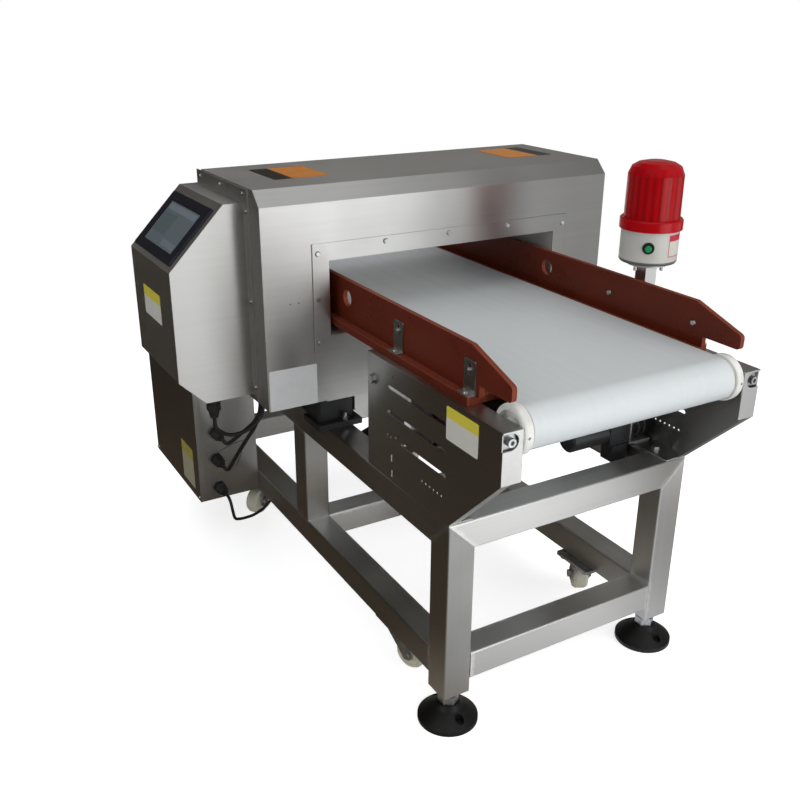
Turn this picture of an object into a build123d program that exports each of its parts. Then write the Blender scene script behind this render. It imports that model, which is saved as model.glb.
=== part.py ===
# Conveyor metal detector: belt conveyor on a tube stand, tunnel head, control box, cabinet and beacon.
# Millimetres. +X is the way the belt travels, +Y is the side of the beacon, +Z is up. The floor is Z = 0.
import os
from math import acos, atan2, cos, degrees, hypot, pi, radians, sin, tan

from build123d import *

os.makedirs("parts", exist_ok=True)

# Fits and small clearances
SHAFT_PLAY = 0.05
THREAD_PLAY = 0.05
BELT_PLAY = 0.3
HOLE_PLAY = 0.1

# Stand of square tube
TUBE = 50.0
TUBE_WALL = 2.0
TUBE_ROUND = 3.0
STAND_HALF_X = 540.0
STAND_HALF_Y = 242.5
STAND_TOP = 381.0
LEG_BOTTOM = 60.0
LOWER_RAIL_BOTTOM = 84.5
FOOT_PLATE = 8.0
LEG_X = STAND_HALF_X - TUBE / 2
LEG_Y = STAND_HALF_Y - TUBE / 2
RAIL_LENGTH = 2 * (STAND_HALF_X - TUBE)
CROSS_LENGTH = 2 * (STAND_HALF_Y - TUBE)
UPPER_RAIL_BOTTOM = STAND_TOP - TUBE
UPPER_RAIL_Z = STAND_TOP - TUBE / 2
LOWER_RAIL_Z = LOWER_RAIL_BOTTOM + TUBE / 2
LOWER_RAIL_TOP = LOWER_RAIL_BOTTOM + TUBE

# Levelling feet
PAD_R = 50.5
PAD_RIM = 7.0
PAD_TOP = 34.0
PAD_NECK_R = 19.0
STUD_R = 8.0
STUD_TOP = 112.0
STUD_HEX = 30.0
STUD_HEX_HEIGHT = 15.0
STUD_SHANK_R = 10.0
STUD_SHANK_Z = 14.0
ANCHOR_R = 5.5
ANCHOR_SEAT_R = 7.5
ANCHOR_SEAT_Z = 11.0
ANCHOR_OFFSET = 35.0

# Swivel casters
CASTER_Y = 208.0
CASTER_OUTFEED_X = STAND_HALF_X - 192
CASTER_INFEED_X = 240 - STAND_HALF_X
CASTER_PLATE_X = 92.0
CASTER_PLATE_Y = 62.0
CASTER_PLATE_T = 3.0
CASTER_BOLT_X = 66.0
CASTER_BOLT_Y = 42.0
CASTER_BOLT_R = 3.5
CASTER_BOLT_HEX = 12.0
RACE_R = 23.0
RACE_BOTTOM = 71.0
KINGPIN_R = 5.0
KINGPIN_HEAD_R = 8.0
KINGPIN_HEAD_Z = 61.5
KINGPIN_HEAD_T = 3.0
FORK_TOP = 70.5
FORK_FLOOR = 65.0
FORK_SHEET = 3.0
WHEEL_R = 29.5
WHEEL_WIDTH = 28.0
WHEEL_Z = 32.0
WHEEL_GAP = 1.5
AXLE_R = 4.0
AXLE_HALF = 24.0
TRAIL = 26.0

# Conveyor
BELT_TOP = 600.0
BELT_T = 2.0
BELT_HALF = 190.0
ROLLER_X = 628.0
ROLLER_Z = 566.5
ROLLER_LINE_R = BELT_TOP - BELT_T / 2 - ROLLER_Z
ROLLER_HALF = 192.5
SHAFT_R = 10.0
SHAFT_HALF = 238.0
SHAFT_FLAT = 8.0
SHAFT_FLAT_Y = 212.0
COLLAR_R = 36.8
COLLAR_Y = 208.0
COLLAR_DISH_R = 28.0
SNUB_X = 310.0
SNUB_Z = 540.0
SNUB_LINE_R = 31.0
SNUB_SHAFT_R = 8.0
SNUB_HALF = 195.0
DRIVE_X = 382.0
DRIVE_Z = 480.0
DRIVE_LINE_R = abs(SNUB_X + SNUB_LINE_R - DRIVE_X)
BED_HALF_X = 561.0
BED_HALF_Y = 232.0
BED_BOTTOM = 582.0
BED_T = 12.0
BED_TOP = BED_BOTTOM + BED_T
WEAR_T = BELT_TOP - BELT_T - BED_TOP

# Folded side plates of the conveyor
SHEET = 2.0
SIDE_X0 = 290.0
SIDE_X1 = 662.0
SIDE_Y = 242.5
SIDE_END_Z = 503.0
SIDE_SLANT_X = 538.0
SIDE_FLANGE = 33.5
SIDE_FOOT = 44.0
SIDE_SLANT_FLANGE = 16.0
NOTCH_Y = 229.0
NOTCH_Z = 566.5
NOTCH_HALF = 12.5
SLOTS = [(440.5, 542.0, 169.0), (439.5, 499.0, 171.0), (464.0, 459.0, 128.0)]
SLOT_WIDTH = 7.0
TENSION_BOLT_R = 4.0
HEX_FLATS = 13.0
HEX_T = 5.3
WASHER_R = 9.5
WASHER_T = 1.5
SNUB_BOLT_L = 15.0
FOOT_BOLT_IN = 35.0
FOOT_BOLT_END = 45.0
TENSION_HEAD_R = 6.5
TENSION_HEAD_X = 665.0
TENSION_HEAD_T = 8.0
TENSION_BOLT_END = 615.0
BLOCK_X0 = 604.0
BLOCK_X1 = TENSION_HEAD_X - TENSION_HEAD_T
BLOCK_Y0 = 214.0
BLOCK_Z0 = 551.0
BLOCK_Z1 = 579.5
TAKE_UP = 6.0

# Drive below the outfeed section
MOTOR_X = 432.0
MOTOR_Z = 408.0
MOTOR_R = 22.0
MOTOR_Y0 = 65.0
MOTOR_Y1 = 145.0
GEARBOX = 46.0
GEARBOX_Y1 = 188.0
GEARBOX_BORE_Y = 158.0
TERMINAL_BOX_X = 30.0
TERMINAL_BOX_Y = 36.0
TERMINAL_BOX_H = 30.0
BRACKET_MARGIN = 3.0
BRACKET_FOOT = 48.0
BRACKET_T = 3.0
PULLEY_SHAFT_R = 7.0
SMALL_PULLEY_R = 17.0
LARGE_PULLEY_R = 24.0
PULLEY_Y0 = 211.0
PULLEY_Y1 = 226.0
PULLEY_FLANGE = 1.5
TOOTHED_T = 3.0
TOOTHED_WIDTH = 11.0

# Guides
GUIDE_Y = 210.0
GUIDE_T = 8.0
GUIDE_TOP = 666.5
GUIDE_FOOT_X = 570.0
GUIDE_LIFT_Z = 612.0
GUIDE_NOSE_X = 644.0
GUIDE_NOSE_Z = 635.0
GUIDE_SLOPE_X = 548.0
GUIDE_HOLE_X = 172.0
GUIDE_HOLE_Z = 635.0
GUIDE_HOLE_R = 14.5
GUIDE_BRACKETS = (349.0, 547.0)
GUIDE_BRACKET_W = 28.0
GUIDE_BRACKET_H = 50.0
GUIDE_SLOT = 17.0
GUIDE_SLOT_Z = 630.5
GUIDE_SCREW_Z = 629.5
GUIDE_SCREW_R = 2.5
GUIDE_FOOT_W = 13.5
FOOT_SCREW_OUT = 7.5
GUIDE_HEAD_R = 5.0
GUIDE_HEAD_T = 2.6
GUIDE_NUT_FLATS = 8.0
GUIDE_NUT_T = 4.0

# Head with the tunnel
HEAD_HALF_X = 146.5
HEAD_HALF_Y = 360.0
HEAD_BOTTOM = 443.0
HEAD_TOP = 821.0
HEAD_CHAMFER = 25.0
HEAD_SHEET = 2.5
TUNNEL_HALF_Y = 239.0
TUNNEL_Z0 = 565.0
TUNNEL_Z1 = 697.0
LINER_T = 4.0
FLANGE_HALF_Y = 270.0
FLANGE_Z0 = 537.0
FLANGE_Z1 = 728.0
FLANGE_T = 2.0
SCREW_R = 2.5
SCREW_HEAD_R = 5.0
SCREW_HEAD_T = 2.6
SCREW_GRIP = 9.0
PANEL_HALF_X = HEAD_HALF_X - 6.5
PANEL_HALF_Y = 245.0
PANEL_T = 5.0
TRAY_HALF_X = HEAD_HALF_X - 26.5
TRAY_HALF_Y = 180.0
TRAY_BOTTOM = 400.0
TRAY_GAP = 2.0

COIL_PITCH = 70.0
COIL_T = 12.0
FRAME_SCREW_Y = 130.0
FRAME_SCREW_EDGE = 9.0
FRAME_SCREW_SIDE = 10.0
FRAME_SCREW_END = 17.0
FRAME_SCREWS = [
    (y, z)
    for y in (-FRAME_SCREW_Y, 0, FRAME_SCREW_Y)
    for z in (FLANGE_Z0 + FRAME_SCREW_EDGE, FLANGE_Z1 - FRAME_SCREW_EDGE)
]
FRAME_SCREWS += [
    (y, z)
    for y in (FRAME_SCREW_SIDE - FLANGE_HALF_Y, FLANGE_HALF_Y - FRAME_SCREW_SIDE)
    for z in (FLANGE_Z0 + FRAME_SCREW_END, (FLANGE_Z0 + FLANGE_Z1) / 2, FLANGE_Z1 - FRAME_SCREW_END)
]
MOUNT_X = HEAD_HALF_X - 40.5
MOUNT_Y = 218.5
MOUNT_FOOT_X = 68.0
MOUNT_FOOT_Y = 87.0
MOUNT_FOOT_T = 11.0
MOUNT_BODY_X = 44.0
MOUNT_BODY_Y = 74.0
MOUNT_STEP = 6.0
MOUNT_BOLT_X = MOUNT_X + 25
MOUNT_BOLT_Y = 206.0

# Control box on the end of the head
BOX_X0 = 7.5 - HEAD_HALF_X
BOX_X1 = HEAD_HALF_X - 62.5
BOX_TOP_Z = 795.0
BOX_TOP_DEPTH = 37.0
BOX_DEPTH = 135.4
BOX_CHIN_DEPTH = 90.3
BOX_TOP_Y = -HEAD_HALF_Y - BOX_TOP_DEPTH
BOX_FRONT_Y = -HEAD_HALF_Y - BOX_DEPTH
BOX_FRONT_Z1 = 692.7
BOX_FRONT_Z0 = 500.6
BOX_CHIN_Y = -HEAD_HALF_Y - BOX_CHIN_DEPTH
BOX_BOTTOM_Z = 455.7
BEZEL_W = 200.0
BEZEL_H = 118.0
BEZEL_T = 4.0
SCREEN_W = 154.0
SCREEN_H = 87.0
SCREEN_X = -30.0
SCREEN_DOWN = 74.0

MODULE_W = 182.0
MODULE_H = 100.0
MODULE_DEPTH = 24.0
GLASS_T = 2.0
GLASS_RECESS = 1.0
SLOPE = hypot(BOX_TOP_Y - BOX_FRONT_Y, BOX_TOP_Z - BOX_FRONT_Z1)
SLOPE_Y = (BOX_FRONT_Y - BOX_TOP_Y) / SLOPE
SLOPE_Z = (BOX_FRONT_Z1 - BOX_TOP_Z) / SLOPE
SCREEN_PLANE = Plane(
    origin=(SCREEN_X, BOX_TOP_Y + SCREEN_DOWN * SLOPE_Y, BOX_TOP_Z + SCREEN_DOWN * SLOPE_Z),
    x_dir=(1, 0, 0),
    z_dir=(0, SLOPE_Z, -SLOPE_Y),
)
BOX_FLANGE_X0 = 4.5 - HEAD_HALF_X
BOX_FLANGE_X1 = HEAD_HALF_X - 43.5
BOX_FLANGE_Z0 = 450.0
BOX_FLANGE_Z1 = 819.0
BOX_SCREW_EDGE = 9.5
BOX_SCREWS = [
    (x, BOX_FLANGE_Z1 - BOX_SCREW_EDGE)
    for x in (BOX_FLANGE_X0 + 17, SCREEN_X + 6, BOX_FLANGE_X1 - 22)
]
BOX_SCREWS += [
    (BOX_FLANGE_X1 - BOX_SCREW_EDGE, z)
    for z in (BOX_TOP_Z - 13, (BOX_FLANGE_Z0 + BOX_FLANGE_Z1) / 2 - 6, BOX_BOTTOM_Z + 16)
]
BOX_WINDOW_X = 190.0
BOX_WINDOW_Z = 300.0
BOARD_W = 150.0
BOARD_H = 180.0
BOARD_T = 1.6
BOARD_Z = 610.0
BOARD_STANDOFF = 12.0
SUPPLY_W = 160.0
SUPPLY_D = 42.0
SUPPLY_H = 98.0
SUPPLY_Z = 300.0

# Cabinet on the operator side of the stand
CAB_X0 = -554.0
CAB_X1 = -237.5
CAB_Y0 = -377.0
CAB_JOINT_Y = -364.0
CAB_Z0 = 87.5
CAB_Z1 = 428.0
CAB_SHEET = 1.5
CAB_POST = 14.0

# Glands and cables: points of each route, chosen by eye along the lie of the cable
CABLE_HOLE_R = 8.0
GLAND_L = 36.0
CAB_GLANDS = [(-334.0, 247.0), (-336.0, 185.0), (-334.0, 117.0)]
GLAND_BOX_X = 66.0
GLAND_BOX_Y = -HEAD_HALF_Y - 72
GLAND_TIP_X = CAB_X1 + GLAND_L
GLAND_TIP_Z = BOX_BOTTOM_Z - GLAND_L
CABLES = [
    (
        [
            (GLAND_BOX_X, GLAND_BOX_Y, GLAND_TIP_Z),
            (GLAND_BOX_X, GLAND_BOX_Y, HEAD_BOTTOM - 46),
            (GLAND_BOX_X - 3, GLAND_BOX_Y + 24, HEAD_BOTTOM - 67),
            (GLAND_BOX_X - 8, GLAND_BOX_Y + 60, HEAD_BOTTOM - 69),
            (GLAND_BOX_X - 12, 19 - HEAD_HALF_Y, HEAD_BOTTOM - 52),
            (GLAND_BOX_X - 12, 28 - HEAD_HALF_Y, HEAD_BOTTOM - 22),
            (GLAND_BOX_X - 12, 28 - HEAD_HALF_Y, HEAD_BOTTOM),
        ],
        3.5,
    ),
    (
        [
            (GLAND_TIP_X, -334, 247),
            (-166, -334, 247),
            (-118, -330, 281),
            (-62, -327, 322),
            (-6, -330, 360),
            (32, -331, 398),
            (32, -331, HEAD_BOTTOM),
        ],
        4.0,
    ),
    (
        [
            (GLAND_TIP_X, -336, 185),
            (-167, -336, 185),
            (-128, -331, 232),
            (-78, -324, 290),
            (-20, -323, 345),
            (10, -322, 395),
            (10, -322, HEAD_BOTTOM),
        ],
        4.0,
    ),
    (
        [
            (GLAND_TIP_X, -334, 117),
            (-172, -334, 117),
            (-161, -333, 90),
            (-172, -326, 64),
            (-196, -302, 46),
            (-212, -266, 38),
            (-220, -236, 46),
            (-220, -220, 62),
            (-220, -220, LOWER_RAIL_BOTTOM),
        ],
        3.25,
    ),
]

# Beacon
POST = 25.0
BEACON_X = STAND_HALF_X - 153
BEACON_Y = STAND_HALF_Y + POST / 2
POST_TOP = 685.0
BASE_R = 49.0
BASE_Z0 = 691.0
BASE_Z1 = 748.0
COLLAR_HEIGHT = 18.0
LENS_R = 47.0
LENS_HEIGHT = 112.0
BUTTON_ANGLE = -45.0
BUTTON_Z = 722.0
BUTTON_R = 5.5
BUTTON_PLAY = 0.3
BUTTON_COLLAR_R = 9.0
BUTTON_COLLAR_T = 3.0
BUTTON_OUT = 6.0
BUTTON_L = 14.0
BASE_WALL = 2.5
POST_DISC_R = 34.0
LENS_COLLAR_R = 53.0
LENS_WALL = 2.5
LAMP_SOCKET_R = 11.0
LAMP_SOCKET_H = 12.0
LAMP_R = 9.0
LAMP_H = 38.0
REFLECTOR_R = 32.0
REFLECTOR_T = 1.5
REFLECTOR_Z = 8.0
REFLECTOR_H = 62.0

CORNERS = {"outfeed_left": (1, -1), "outfeed_right": (1, 1), "infeed_left": (-1, -1), "infeed_right": (-1, 1)}


def keep(part, name):
    part.label = name
    export_step(part, f"parts/{name}.step")


def across(y):
    return Plane.XZ.offset(-y)


def tube_section():
    RectangleRounded(TUBE, TUBE, TUBE_ROUND)
    RectangleRounded(TUBE - 2 * TUBE_WALL, TUBE - 2 * TUBE_WALL, TUBE_ROUND - TUBE_WALL, mode=Mode.SUBTRACT)


# Top corners of the stand are mitred three ways. In each view the two tubes share the corner square
# along its diagonal: these are the halves on the one side and on the other.
def corner_halves(half_u, half_v, top, first):
    triangles = []
    for su in (-1, 1):
        for sv in (-1, 1) if top is None else (1,):
            outer = (su * half_u, sv * half_v if top is None else top)
            inner = (su * (half_u - TUBE), sv * (half_v - TUBE) if top is None else top - TUBE)
            middle = (outer[0], inner[1]) if first else (inner[0], outer[1])
            triangles.append((outer, middle, inner))
    return triangles


SIDE_VIEW_RAIL_END = corner_halves(STAND_HALF_X, None, STAND_TOP, True)
SIDE_VIEW_LEG_TOP = corner_halves(STAND_HALF_X, None, STAND_TOP, False)
END_VIEW_RAIL_END = corner_halves(STAND_HALF_Y, None, STAND_TOP, True)
END_VIEW_LEG_TOP = corner_halves(STAND_HALF_Y, None, STAND_TOP, False)
TOP_VIEW_SIDE_RAIL_END = corner_halves(STAND_HALF_X, STAND_HALF_Y, None, True)
TOP_VIEW_CROSS_RAIL_END = corner_halves(STAND_HALF_X, STAND_HALF_Y, None, False)

# Legs, with a threaded plate for the foot at the bottom
with BuildPart() as legs:
    with BuildSketch(Plane.XY.offset(LEG_BOTTOM)):
        with GridLocations(2 * LEG_X, 2 * LEG_Y, 2, 2):
            RectangleRounded(TUBE, TUBE, TUBE_ROUND)
    extrude(amount=STAND_TOP - LEG_BOTTOM)
    with BuildSketch(Plane.XY.offset(LEG_BOTTOM + FOOT_PLATE)):
        with GridLocations(2 * LEG_X, 2 * LEG_Y, 2, 2):
            RectangleRounded(TUBE - 2 * TUBE_WALL, TUBE - 2 * TUBE_WALL, TUBE_ROUND - TUBE_WALL)
    extrude(amount=STAND_TOP - LEG_BOTTOM - FOOT_PLATE, mode=Mode.SUBTRACT)
    with BuildSketch(Plane.XY.offset(LEG_BOTTOM)):
        with GridLocations(2 * LEG_X, 2 * LEG_Y, 2, 2):
            Circle(STUD_R + THREAD_PLAY)
    extrude(amount=FOOT_PLATE, mode=Mode.SUBTRACT)
    with BuildSketch(Plane.XZ):
        for triangle in SIDE_VIEW_LEG_TOP:
            Polygon(*triangle, align=None)
    extrude(amount=STAND_HALF_Y, both=True, mode=Mode.SUBTRACT)
    with BuildSketch(Plane.YZ):
        for triangle in END_VIEW_LEG_TOP:
            Polygon(*triangle, align=None)
    extrude(amount=STAND_HALF_X, both=True, mode=Mode.SUBTRACT)
keep(legs.part, "legs")

with BuildPart() as middle_posts:
    with BuildSketch(Plane.XY.offset(LOWER_RAIL_TOP)):
        with GridLocations(1, 2 * LEG_Y, 1, 2):
            tube_section()
    extrude(amount=UPPER_RAIL_BOTTOM - LOWER_RAIL_TOP)
keep(middle_posts.part, "middle_posts")

with BuildPart() as side_rails:
    with BuildSketch(Plane.YZ):
        with Locations((-LEG_Y, LOWER_RAIL_Z), (LEG_Y, LOWER_RAIL_Z)):
            tube_section()
    extrude(amount=RAIL_LENGTH / 2, both=True)
    with BuildSketch(Plane.YZ):
        with Locations((-LEG_Y, UPPER_RAIL_Z), (LEG_Y, UPPER_RAIL_Z)):
            tube_section()
    extrude(amount=STAND_HALF_X, both=True)
    with BuildSketch(Plane.XZ):
        for triangle in SIDE_VIEW_RAIL_END:
            Polygon(*triangle, align=None)
    extrude(amount=STAND_HALF_Y, both=True, mode=Mode.SUBTRACT)
    with BuildSketch(Plane.XY.offset(UPPER_RAIL_BOTTOM)):
        for triangle in TOP_VIEW_SIDE_RAIL_END:
            Polygon(*triangle, align=None)
    extrude(amount=TUBE, mode=Mode.SUBTRACT)
keep(side_rails.part, "side_rails")

with BuildPart() as cross_rails:
    with BuildSketch(Plane.XZ):
        with Locations([(x, LOWER_RAIL_Z) for x in (-LEG_X, 0, LEG_X)]):
            tube_section()
        with Locations((0, UPPER_RAIL_Z)):
            tube_section()
    extrude(amount=CROSS_LENGTH / 2, both=True)
    with BuildSketch(Plane.XZ):
        with Locations((-LEG_X, UPPER_RAIL_Z), (LEG_X, UPPER_RAIL_Z)):
            tube_section()
    extrude(amount=STAND_HALF_Y, both=True)
    with BuildSketch(Plane.YZ):
        for triangle in END_VIEW_RAIL_END:
            Polygon(*triangle, align=None)
    extrude(amount=STAND_HALF_X, both=True, mode=Mode.SUBTRACT)
    with BuildSketch(Plane.XY.offset(UPPER_RAIL_BOTTOM)):
        for triangle in TOP_VIEW_CROSS_RAIL_END:
            Polygon(*triangle, align=None)
    extrude(amount=TUBE, mode=Mode.SUBTRACT)
keep(cross_rails.part, "cross_rails")

# Levelling feet: a moulded pad with two anchor holes, and a stud with its hex that screws into the leg
def make_foot(corner, x, y):
    with BuildPart() as pad:
        with BuildSketch(Plane.XZ):
            with BuildLine():
                Polyline(
                    (STUD_SHANK_R, STUD_SHANK_Z),
                    (0, STUD_SHANK_Z),
                    (0, 0),
                    (PAD_R, 0),
                    (PAD_R, PAD_RIM),
                    (PAD_R - 3, PAD_RIM + 2.5),
                    (PAD_NECK_R + 6, PAD_TOP - 7),
                    (PAD_NECK_R, PAD_TOP),
                    (STUD_SHANK_R, PAD_TOP),
                    close=True,
                )
            make_face()
        revolve(axis=Axis.Z)
        with Locations((-ANCHOR_OFFSET, 0, ANCHOR_SEAT_Z), (ANCHOR_OFFSET, 0, ANCHOR_SEAT_Z)):
            Cylinder(
                ANCHOR_SEAT_R,
                PAD_TOP,
                align=(Align.CENTER, Align.CENTER, Align.MIN),
                mode=Mode.SUBTRACT,
            )
            Cylinder(ANCHOR_R, 3 * ANCHOR_SEAT_Z, mode=Mode.SUBTRACT)
    with BuildPart() as stud:
        with Locations((0, 0, STUD_SHANK_Z)):
            Cylinder(STUD_SHANK_R, PAD_TOP - STUD_SHANK_Z, align=(Align.CENTER, Align.CENTER, Align.MIN))
        with Locations((0, 0, PAD_TOP)):
            Cylinder(STUD_R, STUD_TOP - PAD_TOP, align=(Align.CENTER, Align.CENTER, Align.MIN))
        with BuildSketch(Plane.XY.offset(PAD_TOP)):
            RegularPolygon(STUD_HEX / 2, 6, major_radius=False)
        extrude(amount=STUD_HEX_HEIGHT)
        chamfer(stud.faces().sort_by(Axis.Z)[-1].edges(), 1.2)
    keep(Location((x, y, 0)) * pad.part, f"foot_pad_{corner}")
    keep(Location((x, y, 0)) * stud.part, f"foot_stud_{corner}")


for corner, (sx, sy) in CORNERS.items():
    make_foot(corner, sx * LEG_X, sy * LEG_Y)

# Casters: where each swivels, and the way its wheel trails in the stored position
CASTERS = {
    "outfeed_left": (CASTER_OUTFEED_X, -CASTER_Y, 20.0),
    "outfeed_right": (CASTER_OUTFEED_X, CASTER_Y, 150.0),
    "infeed_left": (CASTER_INFEED_X, -CASTER_Y, -54.0),
    "infeed_right": (CASTER_INFEED_X, CASTER_Y, 200.0),
}
CASTER_PLACES = [(x, y) for x, y, angle in CASTERS.values()]

with BuildPart() as caster_mount_plates:
    with BuildSketch(Plane.XY.offset(LOWER_RAIL_BOTTOM - CASTER_PLATE_T)):
        with Locations(*CASTER_PLACES):
            RectangleRounded(CASTER_PLATE_X, CASTER_PLATE_Y, 4)
            with GridLocations(CASTER_BOLT_X, CASTER_BOLT_Y, 2, 2):
                Circle(CASTER_BOLT_R, mode=Mode.SUBTRACT)
    extrude(amount=CASTER_PLATE_T)

CASTER_PLATE_BOTTOM = LOWER_RAIL_BOTTOM - 2 * CASTER_PLATE_T
with BuildPart() as caster_top_plates:
    with BuildSketch(Plane.XY.offset(LOWER_RAIL_BOTTOM - CASTER_PLATE_T)):
        with Locations(*CASTER_PLACES):
            RectangleRounded(CASTER_PLATE_X, CASTER_PLATE_Y, 4)
            with GridLocations(CASTER_BOLT_X, CASTER_BOLT_Y, 2, 2):
                Circle(CASTER_BOLT_R, mode=Mode.SUBTRACT)
    extrude(amount=-CASTER_PLATE_T)
    with BuildSketch(Plane.XY.offset(CASTER_PLATE_BOTTOM)):
        with Locations(*CASTER_PLACES):
            Circle(RACE_R)
    extrude(amount=RACE_BOTTOM - CASTER_PLATE_BOTTOM)
    with BuildSketch(Plane.XY.offset(RACE_BOTTOM)):
        with Locations(*CASTER_PLACES):
            Circle(KINGPIN_R)
    extrude(amount=KINGPIN_HEAD_Z - RACE_BOTTOM)
    with BuildSketch(Plane.XY.offset(KINGPIN_HEAD_Z)):
        with Locations(*CASTER_PLACES):
            Circle(KINGPIN_HEAD_R)
    extrude(amount=KINGPIN_HEAD_T)
keep(Compound([*caster_mount_plates.solids(), *caster_top_plates.solids()]), "caster_plates")


def make_caster(corner, x, y, angle):
    side = WHEEL_WIDTH / 2 + WHEEL_GAP
    with BuildPart() as fork:
        with Locations((0, 0, FORK_FLOOR)):
            Cylinder(RACE_R + 1, FORK_TOP - FORK_FLOOR, align=(Align.CENTER, Align.CENTER, Align.MIN))
        with BuildSketch(Plane.XZ):
            with BuildLine():
                Polyline(
                    (-19, FORK_FLOOR + FORK_SHEET),
                    (19, FORK_FLOOR + FORK_SHEET),
                    (TRAIL + 10, WHEEL_Z + 8),
                    (TRAIL + 11, WHEEL_Z - 4),
                    (TRAIL + 5, WHEEL_Z - 11),
                    (TRAIL - 7, WHEEL_Z - 11),
                    (TRAIL - 12, WHEEL_Z - 4),
                    close=True,
                )
            make_face()
        extrude(amount=side + FORK_SHEET, both=True)
        with BuildSketch(Plane.XZ):
            with Locations((TRAIL, 0)):
                Rectangle(200, 2 * FORK_FLOOR)
        extrude(amount=side, both=True, mode=Mode.SUBTRACT)
        Cylinder(KINGPIN_R + THREAD_PLAY, 200, mode=Mode.SUBTRACT)
        with Locations((TRAIL, 0, WHEEL_Z)):
            Cylinder(AXLE_R, 200, rotation=(90, 0, 0), mode=Mode.SUBTRACT)
    with BuildPart() as axle:
        with Locations((TRAIL, 0, WHEEL_Z)):
            Cylinder(AXLE_R, 2 * AXLE_HALF, rotation=(90, 0, 0))
        with BuildSketch(across(side + FORK_SHEET), across(-side - FORK_SHEET - 5)):
            with Locations((TRAIL, WHEEL_Z)):
                RegularPolygon(HEX_FLATS / 2, 6, major_radius=False)
        extrude(amount=-5)
    with BuildPart() as wheel:
        with BuildSketch(Plane.XZ):
            with BuildLine():
                Polyline(
                    (AXLE_R + SHAFT_PLAY, WHEEL_WIDTH / 2),
                    (13, WHEEL_WIDTH / 2),
                    (15, WHEEL_WIDTH / 2 - 4),
                    (22, WHEEL_WIDTH / 2 - 4),
                    (24, WHEEL_WIDTH / 2),
                    (WHEEL_R - 3, WHEEL_WIDTH / 2),
                    (WHEEL_R, WHEEL_WIDTH / 2 - 5),
                    (WHEEL_R, 5 - WHEEL_WIDTH / 2),
                    (WHEEL_R - 3, -WHEEL_WIDTH / 2),
                    (24, -WHEEL_WIDTH / 2),
                    (22, 4 - WHEEL_WIDTH / 2),
                    (15, 4 - WHEEL_WIDTH / 2),
                    (13, -WHEEL_WIDTH / 2),
                    (AXLE_R + SHAFT_PLAY, -WHEEL_WIDTH / 2),
                    close=True,
                )
            make_face()
        revolve(axis=Axis.Z)
    turned = Location((x, y, 0), (0, 0, angle))
    keep(turned * Compound([*fork.solids(), *axle.solids()]), f"caster_fork_{corner}")
    keep(turned * Location((TRAIL, 0, WHEEL_Z), (90, 0, 0)) * wheel.part, f"caster_wheel_{corner}")


for corner, (x, y, angle) in CASTERS.items():
    make_caster(corner, x, y, angle)

# Side plates of the conveyor: folded sheet, one pair at each end
SIDE_OUTLINE = [
    (SIDE_X0, STAND_TOP),
    (SIDE_X0, BED_BOTTOM),
    (SIDE_X1, BED_BOTTOM),
    (SIDE_X1, SIDE_END_Z),
    (SIDE_SLANT_X, STAND_TOP),
]
SLANT = hypot(SIDE_X1 - SIDE_SLANT_X, SIDE_END_Z - STAND_TOP)
SLANT_IN_X = -(SIDE_END_Z - STAND_TOP) / SLANT * SHEET
SLANT_IN_Z = (SIDE_X1 - SIDE_SLANT_X) / SLANT * SHEET
MIRRORS = {"outfeed": 1, "infeed": -1}


with BuildPart() as side_plates:
    with BuildSketch(across(SIDE_Y)):
        with BuildLine():
            Polyline(*SIDE_OUTLINE, close=True)
        make_face()
    extrude(amount=SHEET)
    with Locations(((SIDE_X0 + SIDE_X1) / 2, SIDE_Y - SIDE_FLANGE / 2, BED_BOTTOM - SHEET / 2)):
        Box(SIDE_X1 - SIDE_X0, SIDE_FLANGE, SHEET)
    with Locations((SIDE_X1 - SHEET / 2, SIDE_Y - SIDE_FLANGE / 2, (SIDE_END_Z + BED_BOTTOM) / 2)):
        Box(SHEET, SIDE_FLANGE, BED_BOTTOM - SIDE_END_Z)
    with Locations(((SIDE_X0 + SIDE_SLANT_X) / 2, SIDE_Y - SIDE_FOOT / 2, STAND_TOP + SHEET / 2)):
        Box(SIDE_SLANT_X - SIDE_X0, SIDE_FOOT, SHEET)
    with BuildSketch(across(SIDE_Y)):
        with BuildLine():
            Polyline(
                (SIDE_X1, SIDE_END_Z),
                (SIDE_SLANT_X, STAND_TOP),
                (SIDE_SLANT_X + SLANT_IN_X, STAND_TOP + SLANT_IN_Z),
                (SIDE_X1 + SLANT_IN_X, SIDE_END_Z + SLANT_IN_Z),
                close=True,
            )
        make_face()
    extrude(amount=SIDE_SLANT_FLANGE)
    with BuildSketch(across(SIDE_Y)):
        for slot_x, slot_z, slot_length in SLOTS:
            with Locations((slot_x, slot_z)):
                SlotOverall(slot_length, SLOT_WIDTH)
        with Locations((369, 422), (370, 395)):
            SlotOverall(14, 5, rotation=90)
        with Locations((357, 459), (367, 459), (382, 463.5), (375, 563)):
            Circle(2.5)
        with Locations([(463 + 11 * n, 423) for n in range(6)]):
            Circle(2)
        with Locations((SNUB_X, SNUB_Z)):
            Circle(TENSION_BOLT_R + HOLE_PLAY)
    extrude(amount=SHEET, mode=Mode.SUBTRACT)
    with BuildSketch(Plane.YZ.offset(SIDE_X1)):
        with Locations((NOTCH_Y, NOTCH_Z)):
            Circle(NOTCH_HALF)
        with Locations(((NOTCH_Y + SIDE_Y) / 2, NOTCH_Z)):
            Rectangle(SIDE_Y - NOTCH_Y, 2 * NOTCH_HALF)
    extrude(amount=-SHEET, mode=Mode.SUBTRACT)
    with BuildSketch(Plane.XY.offset(STAND_TOP)):
        with Locations((SIDE_X0 + FOOT_BOLT_IN, LEG_Y), (SIDE_SLANT_X - FOOT_BOLT_END, LEG_Y)):
            Circle(TENSION_BOLT_R + HOLE_PLAY)
    extrude(amount=SHEET, mode=Mode.SUBTRACT)
    mirror(about=Plane.XZ)
    mirror(about=Plane.YZ)
keep(side_plates.part, "side_plates")

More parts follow.
